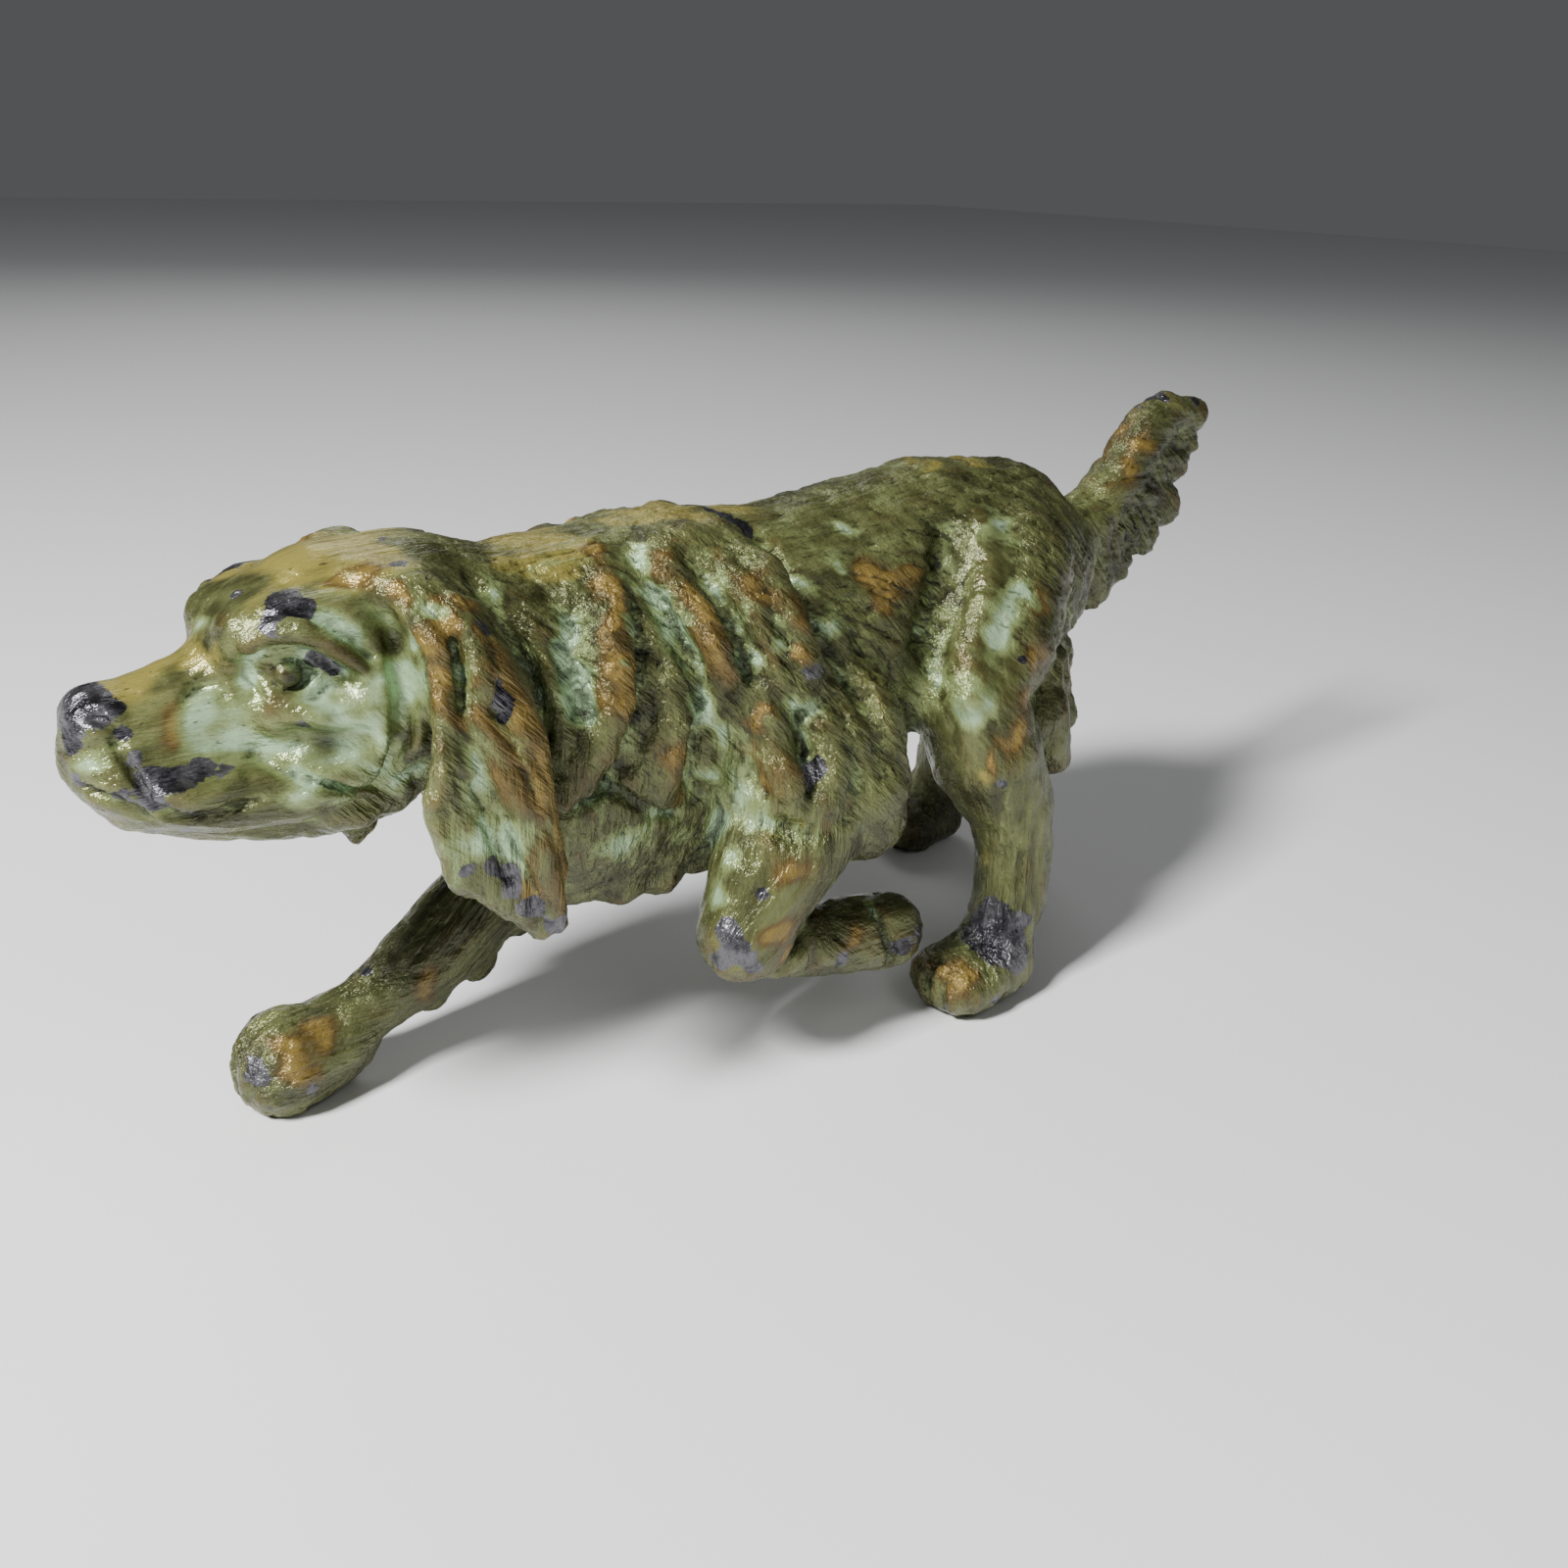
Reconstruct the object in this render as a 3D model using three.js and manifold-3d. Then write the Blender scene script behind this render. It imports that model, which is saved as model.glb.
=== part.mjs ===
// A cast-metal setter, stalking game with its left foreleg raised.
// Millimetres, +Z up, head towards -X, the dog's left side towards -Y, standing on the plane z = 0.
// The figure is one casting. It is modelled as a field that is negative inside the metal: chains of balls
// are melted into each other, and drawn strokes raise folds and locks or sink creases. A net is then laid
// over the field's zero surface, and the three soles are cut flat.

import * as THREE from "three";
import { mergeVertices } from "three/addons/utils/BufferGeometryUtils.js";
import Module from "manifold-3d";

const FIGURE_LENGTH = 226.5; // nose to the tail's curl
const FIGURE_WIDTH = 66.5; // across the standing paws
const FIGURE_HEIGHT = 97.5; // table to the top of the tail

// The tables below lay the figure out in units of 1/228 of its length, and the finished net is brought to
// the three sizes above.
// Net spacing in units: finer over the head than over the body.
const HEAD_STEP = 2.6;
const BODY_STEP = 4.1;
const CROSS_STEP = 3.5;
const HEAD_ENDS = -104;
const LOW = [-165, -41, -7];
const HIGH = [73, 41, 104];

// How the net is evened out.
const EASE = 0.5;
const EASE_ROUNDS = 5;
const FILL = 0.3;

const FAR = 12; // the field's value away from every form
const REACH = 7; // how far from a form its field is worked out

const bronze = new THREE.MeshStandardMaterial({ color: 0x6b6a2c, roughness: 0.45, metalness: 0.6 });

// A form is a chain of balls [x, y, z, radius, half thickness]. With a half thickness the balls are
// flattened along the form's normal, which is across the dog unless the form says otherwise.
const ACROSS = [0, 1, 0];

const forms = [
  // Trunk, from the rump to the chest.
  {
    blend: 6,
    points: [
      [12, 0, 67, 16.5, 13.5],
      [3, 0, 68, 21.5, 17],
      [-14, 0, 68.5, 22.5, 18],
      [-34, 0, 64, 24.5, 19],
      [-54, 0, 59, 28, 20],
      [-71, 0, 59.5, 29.5, 19.5],
      [-82, 0, 58, 28.5, 18.5],
    ],
  },
  // Neck.
  {
    blend: 6,
    points: [
      [-84, 0, 64, 22, 17],
      [-97, 0, 67.5, 20, 16],
      [-107, 0, 70.5, 17, 14.5],
      [-116, 0, 74, 15, 13.5],
    ],
  },
  // Skull.
  {
    blend: 4,
    points: [
      [-115, 0, 76, 14.5, 13.5],
      [-125, 0, 77, 14, 12.5],
      [-131, 0, 76.5, 12, 10.5],
    ],
  },
  // Muzzle and lower jaw.
  {
    blend: 4,
    points: [
      [-134, 0, 69, 10.4, 9],
      [-145, 0, 68.4, 9.8, 7.2],
      [-151.5, 0, 68, 8.6, 6.8],
    ],
  },
  {
    blend: 3,
    points: [
      [-151, 0, 60.5, 4, 5],
      [-140, 0, 57.5, 5, 6.5],
      [-128, 0, 56.5, 6.5, 8.5],
      [-120, 0, 58.5, 8, 9.5],
    ],
  },
  // Lips that hang on each side of the muzzle.
  {
    blend: 2.5,
    mirror: true,
    points: [
      [-153.5, -3.4, 65.5, 4.2],
      [-148.5, -5, 63, 4.8],
      [-141, -6.3, 61.5, 5],
      [-134, -8, 61, 4.6],
    ],
  },
  // Nose.
  { blend: 1.5, points: [[-155.5, 0, 72.6, 3.8, 4.6]] },
  { blend: 1.5, mirror: true, points: [[-155.6, -2.8, 72.4, 2.8]] },
  // Cheeks, brows and cheekbones.
  {
    blend: 4,
    mirror: true,
    points: [
      [-121, -7.5, 69, 8.5],
      [-128, -7.5, 65, 7],
    ],
  },
  {
    blend: 2.5,
    mirror: true,
    points: [
      [-138, -5.5, 81.5, 3.8],
      [-133, -8.2, 83, 4],
      [-127.5, -10, 82.8, 3.6],
    ],
  },
  {
    blend: 2,
    mirror: true,
    points: [
      [-136, -8.6, 71.2, 2.2],
      [-131.5, -10.6, 70.2, 2.8],
      [-126, -12.2, 71, 2.6],
    ],
  },
  // Ears, hanging from the top of the skull over the neck.
  {
    blend: 2.5,
    normal: [-0.25, 0.96, 0.1],
    points: [
      [-118, -11, 85, 4.5, 3.4],
      [-113.5, -15, 78, 6.5, 3.4],
      [-111, -18, 69, 7.8, 3.2],
      [-112, -19, 60, 10, 3],
      [-111, -19.5, 52.5, 9, 3],
      [-106.5, -20, 44.5, 5.6, 2.8],
      [-103.5, -20, 38.5, 3.2, 2.6],
    ],
  },
  {
    blend: 2.5,
    points: [
      [-123, -8.5, 87, 2.8],
      [-117, -13.5, 84, 3.2],
      [-111.5, -18.5, 76, 3.4],
      [-108, -21, 66, 3.4],
      [-106, -22, 55, 3],
      [-104, -21.5, 45.5, 2.6],
    ],
  },
  {
    blend: 2.5,
    normal: [0.25, 0.96, -0.1],
    points: [
      [-118, 11, 85, 4.5, 3.4],
      [-114.5, 15, 78, 6.5, 3.4],
      [-113.5, 18, 69, 7.8, 3.2],
      [-116, 19, 60, 9.6, 3],
      [-116.5, 19.5, 52.5, 8.4, 3],
      [-114.5, 20, 45.5, 5.6, 2.8],
      [-113, 20, 41.5, 3.6, 2.6],
    ],
  },
  {
    blend: 2.5,
    points: [
      [-123, 8.5, 87, 2.8],
      [-117.5, 13.5, 84, 3.2],
      [-113, 18.5, 76, 3.4],
      [-110.5, 21, 66, 3.4],
      [-110, 22, 55, 3],
      [-111, 21.5, 47, 2.6],
    ],
  },
  // Shoulder blades and upper arms.
  {
    blend: 4,
    points: [
      [-74, -9.5, 82, 7, 4],
      [-67, -15.5, 73, 10, 5],
      [-59, -18.5, 62, 12, 5.5],
      [-50, -20, 52, 10, 5.5],
    ],
  },
  {
    blend: 4,
    points: [
      [-74, 9.5, 80, 7, 4],
      [-74, 15, 71, 10, 5],
      [-78, 16.5, 59, 11, 5.5],
      [-82, 16, 46, 10, 5.5],
    ],
  },
  // Left foreleg: elbow tuft, forearm, wrist and the folded paw.
  {
    blend: 4,
    points: [
      [-48, -20.5, 54, 9],
      [-46.5, -22, 45.5, 8.2],
      [-45.5, -22, 39.5, 7],
    ],
  },
  {
    blend: 3.5,
    points: [
      [-50, -21, 45, 8.5],
      [-60, -21.5, 36, 8],
      [-69, -22, 26.5, 6.4],
    ],
  },
  {
    blend: 4,
    points: [
      [-60, -19.5, 46, 8.5],
      [-66, -21, 35, 7],
      [-69, -22, 27, 6],
    ],
  },
  {
    blend: 2,
    points: [
      [-69.5, -22, 25, 5.8],
      [-58, -22, 20.5, 5],
      [-48, -22, 18.8, 6],
      [-38.5, -22, 16.8, 6],
    ],
  },
  // Right foreleg, reaching forward.
  {
    blend: 5,
    points: [
      [-80, 13, 44, 11],
      [-85, 14, 33, 9],
      [-93, 15, 24.5, 7.4],
      [-102, 15, 18, 6.8],
      [-111, 15, 12.8, 5.4],
      [-118, 15, 9.4, 5],
    ],
  },
  {
    blend: 3,
    points: [
      [-120.5, 15, 7.2, 6.6],
      [-127.5, 15, 6.8, 7.9],
    ],
  },
  // Left hind leg under the hip.
  {
    blend: 5,
    points: [
      [-4, -11.5, 72, 12],
      [-12, -16.5, 63, 12],
      [-20, -20.5, 54, 9.5],
      [-17.5, -22.5, 44.5, 9.8],
      [-12.5, -24.2, 34.5, 7.8],
      [-11, -25, 26, 6.4],
      [-12, -25.5, 17, 6.2],
      [-15.5, -26, 8, 5.8],
    ],
  },
  {
    blend: 3,
    normal: [0.2, 0, 0.98],
    points: [
      [-16, -26, 5.8, 7, 5.8],
      [-24.4, -26, 5, 7.8, 5.6],
    ],
  },
  // Right hind leg, pushed back.
  {
    blend: 5,
    points: [
      [4, 11, 69, 13],
      [2, 16, 58, 12.5],
      [0, 20, 49, 10],
      [12, 23, 38, 7.5],
      [24, 25, 26, 6],
      [23, 26, 15, 5.4],
      [20, 26, 8, 5.4],
    ],
  },
  {
    blend: 3,
    normal: [0.2, 0, 0.98],
    points: [
      [20, 26, 5.8, 7, 5.8],
      [13.8, 26, 5, 7.6, 5.6],
    ],
  },
  // Breeches, the long hair behind the thighs.
  {
    blend: 3,
    points: [
      [6, -8, 69, 8, 6],
      [14, -8, 61, 5, 4],
    ],
  },
  {
    blend: 2.5,
    points: [
      [1, -13, 62, 8, 6],
      [8.5, -14, 53.5, 4, 3.5],
    ],
  },
  {
    blend: 2.5,
    points: [
      [-1, -18, 54, 7, 5],
      [5, -19, 45.5, 3.6, 3],
    ],
  },
  {
    blend: 2.5,
    points: [
      [-3, -21, 47, 6, 5],
      [1.5, -22, 39, 3.2, 2.8],
    ],
  },
  {
    blend: 3,
    points: [
      [12, 12, 64, 8, 6],
      [19, 13, 55, 4.5, 4],
    ],
  },
  {
    blend: 2.5,
    points: [
      [9, 18, 54, 7, 5],
      [20, 20, 45, 4, 3],
    ],
  },
  // Tail.
  {
    blend: 3.5,
    points: [
      [22, 0, 71, 7],
      [34, 0, 76, 5],
      [42.5, 0, 84, 4.4],
      [48.5, 0, 91, 4.6],
      [55, 0, 94.2, 4],
      [63, 0, 93, 3.6],
    ],
  },
  // Locks of the tail's plume.
  {
    blend: 2,
    points: [
      [53, 0, 91, 4, 3],
      [62, 0, 87.5, 3, 2.2],
    ],
  },
  {
    blend: 2,
    points: [
      [47, 0, 86, 5, 3.4],
      [59, 0, 83, 3.6, 2.4],
    ],
  },
  {
    blend: 2,
    points: [
      [42, 0, 80, 6, 3.8],
      [57, 0, 74.5, 4.4, 2.6],
    ],
  },
  {
    blend: 2,
    points: [
      [37, 0, 76, 7, 4.2],
      [50, 0, 69, 4.2, 2.8],
    ],
  },
  {
    blend: 2,
    points: [
      [32, 0, 72, 7.5, 4.6],
      [42, 0, 64, 4.2, 3],
    ],
  },
  {
    blend: 2.5,
    points: [
      [26, 0, 69, 8, 5],
      [35.5, 0, 60, 4.4, 3.2],
    ],
  },
  // Long hair under the chest.
  {
    blend: 3,
    points: [
      [-90, -2, 38, 7, 6],
      [-88, -3, 32.5, 3.6, 4],
    ],
  },
  {
    blend: 3,
    points: [
      [-82, -3, 38, 7.5, 7],
      [-81, -4, 31.5, 4, 5],
    ],
  },
  {
    blend: 3,
    points: [
      [-74, -4, 38, 7.5, 7],
      [-74, -5, 31.5, 4, 5],
    ],
  },
  {
    blend: 3,
    points: [
      [-66, -4, 38, 6.5, 7],
      [-66, -5, 32.5, 3.6, 4.5],
    ],
  },
  // Long hair behind the reaching foreleg.
  {
    blend: 2.5,
    points: [
      [-90, 15, 27, 6, 5],
      [-87, 15, 17.5, 3.2, 2.8],
    ],
  },
  {
    blend: 2.5,
    points: [
      [-98, 15, 20, 6, 5],
      [-94.5, 15, 12, 3.4, 2.8],
    ],
  },
  {
    blend: 2.5,
    points: [
      [-106, 15, 15, 5, 4.5],
      [-103, 15, 9.4, 3.2, 2.8],
    ],
  },
];

// Folds and hollows are drawn on a flank. A point is [x, z, radius, lift], and the field below supplies the
// y where that flank's surface is. The centre sits the lift above the surface, or below it if negative.
const folds = [
  // Collar roll round the neck, and the hollow behind it.
  {
    blend: 2,
    mirror: true,
    points: [
      [-87, 85, 2.4, -1.5],
      [-88, 80, 3, -1],
      [-90, 74, 3.3, -0.8],
      [-90.5, 67, 3.3, -0.8],
      [-93, 60, 3, -1],
      [-97, 53, 2.6, -1.2],
    ],
  },
  {
    blend: 1.5,
    mirror: true,
    sink: true,
    points: [
      [-83, 85, 1.6, 0.5],
      [-83.5, 78, 2, 0.4],
      [-84.5, 70, 2.2, 0.4],
      [-86.5, 62, 2.2, 0.4],
      [-91, 54, 2, 0.6],
    ],
  },
  // Folds over the shoulder.
  {
    blend: 2,
    mirror: true,
    points: [
      [-79, 84, 2, -0.8],
      [-77, 79, 2.7, -0.6],
      [-74.5, 73, 2.9, -0.6],
      [-72, 67, 2.2, -1.2],
    ],
  },
  {
    blend: 1.8,
    mirror: true,
    points: [
      [-81, 68, 1.8, -1],
      [-80.5, 61, 2.4, -0.6],
      [-81, 54, 2.4, -0.6],
      [-82, 48, 1.6, -1.2],
    ],
  },
  // Rear edge of the shoulder blade, and the crease between it and the ribs.
  {
    blend: 2,
    mirror: true,
    points: [
      [-66, 86, 2.6, -1],
      [-63.5, 81, 3, -0.7],
      [-61.5, 75, 3.3, -0.6],
      [-60, 69, 3, -0.8],
      [-60, 64, 2.4, -1.4],
    ],
  },
  {
    blend: 1.5,
    sink: true,
    points: [
      [-58, 85, 1.6, 0.5],
      [-56.5, 78, 2.1, 0.3],
      [-54, 71, 2.3, 0.2],
      [-50.5, 64, 2.3, 0.2],
      [-49, 57, 2, 0.6],
      [-48, 50, 1.6, 1],
    ],
  },
  // Crease round the upper arm.
  {
    blend: 1.5,
    sink: true,
    points: [
      [-77.5, 60, 1.5, 0.5],
      [-78, 53, 1.9, 0.3],
      [-75, 48, 1.9, 0.3],
      [-68, 44.5, 1.8, 0.5],
      [-61, 42.5, 1.4, 0.7],
    ],
  },
  // Hips, and the front edge of the thigh.
  { blend: 2.5, mirror: true, points: [[-14, 81, 3, -1.3]] },
  {
    blend: 2.5,
    points: [
      [-15, 77, 2.4, -1],
      [-19, 71, 2.8, -0.6],
      [-24, 63, 3.2, -0.8],
      [-26, 57, 3, -1],
    ],
  },
  {
    blend: 3,
    sink: true,
    points: [
      [-22, 82, 2.4, 1.2],
      [-25, 75, 3, 0.8],
      [-30, 66, 3.2, 0.8],
    ],
  },
  // Eye sockets and eyes.
  {
    blend: 1.6,
    mirror: true,
    sink: true,
    points: [
      [-139.5, 77, 2.4, 1.3],
      [-134.5, 77.5, 2.8, 1.3],
      [-129.5, 76.4, 2.4, 1.4],
    ],
  },
  { blend: 1, mirror: true, points: [[-134.7, 76.8, 2.6, -1.6]] },
];

const clamp01 = (v) => Math.min(1, Math.max(0, v));

// Distance from p to a chain of balls: the ball at the nearest place on each link, flattened if it has a
// half thickness.
function chainDistance(p, points, normal) {
  let best = Infinity;
  const links = Math.max(1, points.length - 1);
  for (let i = 0; i < links; i++) {
    const a = points[i];
    const b = points[Math.min(i + 1, points.length - 1)];
    const ab = [b[0] - a[0], b[1] - a[1], b[2] - a[2]];
    const ap = [p[0] - a[0], p[1] - a[1], p[2] - a[2]];
    const along = ab[0] * ab[0] + ab[1] * ab[1] + ab[2] * ab[2];
    const t = along > 0 ? clamp01((ap[0] * ab[0] + ap[1] * ab[1] + ap[2] * ab[2]) / along) : 0;
    const radius = a[3] + (b[3] - a[3]) * t;
    const d = [ap[0] - ab[0] * t, ap[1] - ab[1] * t, ap[2] - ab[2] * t];
    const thick = a[4] === undefined ? radius : a[4] + (b[4] - a[4]) * t;
    const dn = d[0] * normal[0] + d[1] * normal[1] + d[2] * normal[2];
    const sideways = Math.max(0, d[0] * d[0] + d[1] * d[1] + d[2] * d[2] - dn * dn);
    const k0 = Math.sqrt(sideways / (radius * radius) + (dn * dn) / (thick * thick));
    const k1 = Math.sqrt(sideways / radius ** 4 + (dn * dn) / thick ** 4);
    best = Math.min(best, k1 > 1e-9 ? (k0 * (k0 - 1)) / k1 : -Math.min(radius, thick));
  }
  return best;
}

// Melt form b into a, or cut it out of a, with a fillet of width k.
const melt = (a, b, k) => Math.min(a, b) - Math.max(k - Math.abs(a - b), 0) ** 2 / (4 * k);
const carve = (a, b, k) => -melt(-a, b, k);

function mirrored(points) {
  return points.map(([x, y, ...rest]) => [x, -y, ...rest]);
}

// A form ready to be looked up: one entry for each side, with the box outside which it has no effect.
function prepare(form) {
  const n = new THREE.Vector3(...(form.normal ?? ACROSS)).normalize();
  const sides = [[form.points, [n.x, n.y, n.z]]];
  if (form.mirror) sides.push([mirrored(form.points), [n.x, -n.y, n.z]]);
  return sides.map(([points, normal]) => ({
    points,
    normal,
    blend: form.blend,
    sink: form.sink,
    low: [0, 1, 2].map((c) => Math.min(...points.map((q) => q[c] - q[3])) - REACH),
    high: [0, 1, 2].map((c) => Math.max(...points.map((q) => q[c] + q[3])) + REACH),
  }));
}

function addForm(value, form, p) {
  for (let c = 0; c < 3; c++) if (p[c] < form.low[c] || p[c] > form.high[c]) return value;
  const d = chainDistance(p, form.points, form.normal);
  return form.sink ? carve(value, d, form.blend) : melt(value, d, form.blend);
}

const fieldOf = (list, p) => list.reduce((value, form) => addForm(value, form, p), FAR);

// The y of the surface on the left flank (side -1) or the right flank (side +1) at x and z.
function flankAt(list, side, x, z) {
  let outside = side * HIGH[1];
  while (outside * side > 0 && fieldOf(list, [x, outside - side * 0.5, z]) > 0) outside -= side * 0.5;
  return outside - side * 0.25;
}

function foldForms(list) {
  return folds.map(({ points, mirror, ...fold }) => {
    const onSide = (side) => points.map(([x, z, r, lift]) => [x, flankAt(list, side, x, z) + side * lift, z, r]);
    return mirror ? [-1, 1].map((side) => ({ ...fold, points: onSide(side) })) : { ...fold, points: onSide(-1) };
  });
}

const mainForms = forms.flatMap(prepare);
const allForms = [...mainForms, ...foldForms(mainForms).flat().flatMap(prepare)];

function gridLines(low, high, stepAt) {
  const lines = [low];
  while (lines.at(-1) < high) lines.push(lines.at(-1) + stepAt(lines.at(-1)));
  return lines;
}

const xs = gridLines(LOW[0], HIGH[0], (x) => (x < HEAD_ENDS ? HEAD_STEP : BODY_STEP));
const ys = gridLines(LOW[1], HIGH[1], () => CROSS_STEP);
const zs = gridLines(LOW[2], HIGH[2], () => CROSS_STEP);
const [nx, ny, nz] = [xs.length, ys.length, zs.length];
const at = (i, j, k) => (i * ny + j) * nz + k;

function sampleField() {
  const field = new Float32Array(nx * ny * nz);
  for (let i = 0; i < nx; i++)
    for (let j = 0; j < ny; j++)
      for (let k = 0; k < nz; k++) field[at(i, j, k)] = fieldOf(allForms, [xs[i], ys[j], zs[k]]);
  return field;
}

// Where the four corners of a grid square are in and out of the metal crosswise, the net would touch itself
// along an edge. The shallower of the two outside corners is filled until no such square is left.
function fillCrosswise(field) {
  const squares = [
    [1, 1, 0],
    [1, 0, 1],
    [0, 1, 1],
  ];
  let filled = 1;
  while (filled) {
    filled = 0;
    for (const [di, dj, dk] of squares)
      for (let i = 0; i < nx - di; i++)
        for (let j = 0; j < ny - dj; j++)
          for (let k = 0; k < nz - dk; k++) {
            const a = at(i, j, k);
            const b = at(i + di, j + dj, k + dk);
            const c = di ? at(i + 1, j, k) : at(i, j + 1, k);
            const d = dk ? at(i, j, k + 1) : at(i, j + 1, k);
            const crosswise = field[a] < 0 === field[b] < 0 && field[c] < 0 === field[d] < 0;
            if (!crosswise || field[a] < 0 === field[c] < 0) continue;
            const [p, q] = field[a] < 0 ? [c, d] : [a, b];
            field[field[p] < field[q] ? p : q] = -FILL;
            filled++;
          }
  }
  return field;
}

// One vertex in each cell that the zero surface passes through, at the mean of its edge crossings, and a
// quad round each grid edge that the surface crosses.
function layNet(field) {
  const vertexOf = new Int32Array(nx * ny * nz).fill(-1);
  const positions = [];
  const corners = [];
  for (let c = 0; c < 8; c++) corners.push([c & 1, (c >> 1) & 1, (c >> 2) & 1]);
  for (let i = 0; i < nx - 1; i++)
    for (let j = 0; j < ny - 1; j++)
      for (let k = 0; k < nz - 1; k++) {
        const value = corners.map(([a, b, c]) => field[at(i + a, j + b, k + c)]);
        const sum = [0, 0, 0];
        let crossings = 0;
        for (let a = 0; a < 8; a++)
          for (const bit of [1, 2, 4]) {
            const b = a | bit;
            if (a === b || value[a] < 0 === value[b] < 0) continue;
            const t = value[a] / (value[a] - value[b]);
            for (let axis = 0; axis < 3; axis++) sum[axis] += corners[a][axis] + (corners[b][axis] - corners[a][axis]) * t;
            crossings++;
          }
        if (!crossings) continue;
        vertexOf[at(i, j, k)] = positions.length / 3;
        const [u, v, w] = sum.map((s) => s / crossings);
        positions.push(
          xs[i] + (xs[i + 1] - xs[i]) * u,
          ys[j] + (ys[j + 1] - ys[j]) * v,
          zs[k] + (zs[k + 1] - zs[k]) * w,
        );
      }
  const index = [];
  const quad = (a, b, c, d, flip) => index.push(...(flip ? [a, c, b, a, d, c] : [a, b, c, a, c, d]));
  for (let i = 1; i < nx - 1; i++)
    for (let j = 1; j < ny - 1; j++)
      for (let k = 1; k < nz - 1; k++) {
        const here = field[at(i, j, k)] < 0;
        const cell = (a, b, c) => vertexOf[at(i - a, j - b, k - c)];
        if (here !== field[at(i + 1, j, k)] < 0) quad(cell(0, 0, 0), cell(0, 1, 0), cell(0, 1, 1), cell(0, 0, 1), !here);
        if (here !== field[at(i, j + 1, k)] < 0) quad(cell(0, 0, 0), cell(0, 0, 1), cell(1, 0, 1), cell(1, 0, 0), !here);
        if (here !== field[at(i, j, k + 1)] < 0) quad(cell(0, 0, 0), cell(1, 0, 0), cell(1, 1, 0), cell(0, 1, 0), !here);
      }
  return { positions, index };
}

// Even out the net: each vertex moves part of the way to the middle of its neighbours, then back on to the
// zero surface along the field's slope.
function settle({ positions, index }, rounds) {
  const count = positions.length / 3;
  const neighbours = Array.from({ length: count }, () => new Set());
  for (let f = 0; f < index.length; f += 3)
    for (let e = 0; e < 3; e++) {
      neighbours[index[f + e]].add(index[f + ((e + 1) % 3)]);
      neighbours[index[f + ((e + 1) % 3)]].add(index[f + e]);
    }
  let now = positions;
  for (let round = 0; round < rounds; round++) {
    const next = now.slice();
    for (let v = 0; v < count; v++) {
      const p = [0, 0, 0];
      for (const other of neighbours[v]) for (let c = 0; c < 3; c++) p[c] += now[3 * other + c];
      for (let c = 0; c < 3; c++) p[c] = now[3 * v + c] + (p[c] / neighbours[v].size - now[3 * v + c]) * EASE;
      for (let step = 0; step < 2; step++) landOn(p);
      next.splice(3 * v, 3, ...p);
    }
    now = next;
  }
  return { positions: now, index };
}

function landOn(p) {
  const h = 0.3;
  const value = fieldOf(allForms, p);
  const slope = [0, 1, 2].map((c) => {
    const ahead = p.map((q, i) => (i === c ? q + h : q));
    const behind = p.map((q, i) => (i === c ? q - h : q));
    return (fieldOf(allForms, ahead) - fieldOf(allForms, behind)) / (2 * h);
  });
  const steepness = Math.max(0.25, slope[0] ** 2 + slope[1] ** 2 + slope[2] ** 2);
  const move = Math.max(-1, Math.min(1, value)) / steepness;
  for (let c = 0; c < 3; c++) p[c] -= slope[c] * move;
}

const wasm = await Module();
wasm.setup();

function solidFrom(geometry) {
  const bare = new THREE.BufferGeometry()
    .setAttribute("position", geometry.getAttribute("position"))
    .setIndex(geometry.index);
  const merged = mergeVertices(bare, 1e-4);
  return new wasm.Manifold(
    new wasm.Mesh({
      numProp: 3,
      vertProperties: new Float32Array(merged.attributes.position.array),
      triVerts: new Uint32Array(merged.index.array),
    }),
  );
}

function geometryFrom(solid) {
  const mesh = solid.getMesh();
  const geometry = new THREE.BufferGeometry()
    .setAttribute("position", new THREE.BufferAttribute(new Float32Array(mesh.vertProperties), 3))
    .setIndex(new THREE.BufferAttribute(new Uint32Array(mesh.triVerts), 1));
  geometry.computeVertexNormals();
  return geometry;
}

const net = settle(layNet(fillCrosswise(sampleField())), EASE_ROUNDS);
const figure = new THREE.BufferGeometry()
  .setAttribute("position", new THREE.Float32BufferAttribute(net.positions, 3))
  .setIndex(net.index);
figure.computeBoundingBox();
const laid = figure.boundingBox;
figure.scale(
  FIGURE_LENGTH / (laid.max.x - laid.min.x),
  FIGURE_WIDTH / (laid.max.y - laid.min.y),
  FIGURE_HEIGHT / laid.max.z,
);
const body = solidFrom(figure);

// The floor block that trims the soles flat at z = 0.
const floorBlock = new THREE.BoxGeometry(2 * FIGURE_LENGTH, FIGURE_LENGTH, FIGURE_LENGTH / 4);
floorBlock.translate(0, 0, -FIGURE_LENGTH / 8);
const standing = geometryFrom(body.subtract(solidFrom(floorBlock)));

const dog = new THREE.Mesh(standing, bronze);
dog.name = "setter";
standing.computeBoundingBox();
const box = standing.boundingBox;
dog.position.set(-(box.min.x + box.max.x) / 2, -(box.min.y + box.max.y) / 2, -box.min.z);

const root = new THREE.Group();
root.add(dog);
export default root;
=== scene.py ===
"""Appearance of the cast metal setter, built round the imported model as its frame.

The figure is drawn once more from the same forms as the solid, on a finer grid, with the modelled detail
that the solid leaves out: eyelids, nostrils, lips, toes and hair. Its paint follows from place and relief.
Lengths in the tables are in the units that the figure was drawn in, in which it is 226.5 long. x runs
towards the tail, y to the dog's right, z up from the floor. place() turns them into the frame's metres.
"""

import math

import bpy
import numpy as np
from mathutils import Euler, Matrix, Vector


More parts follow.
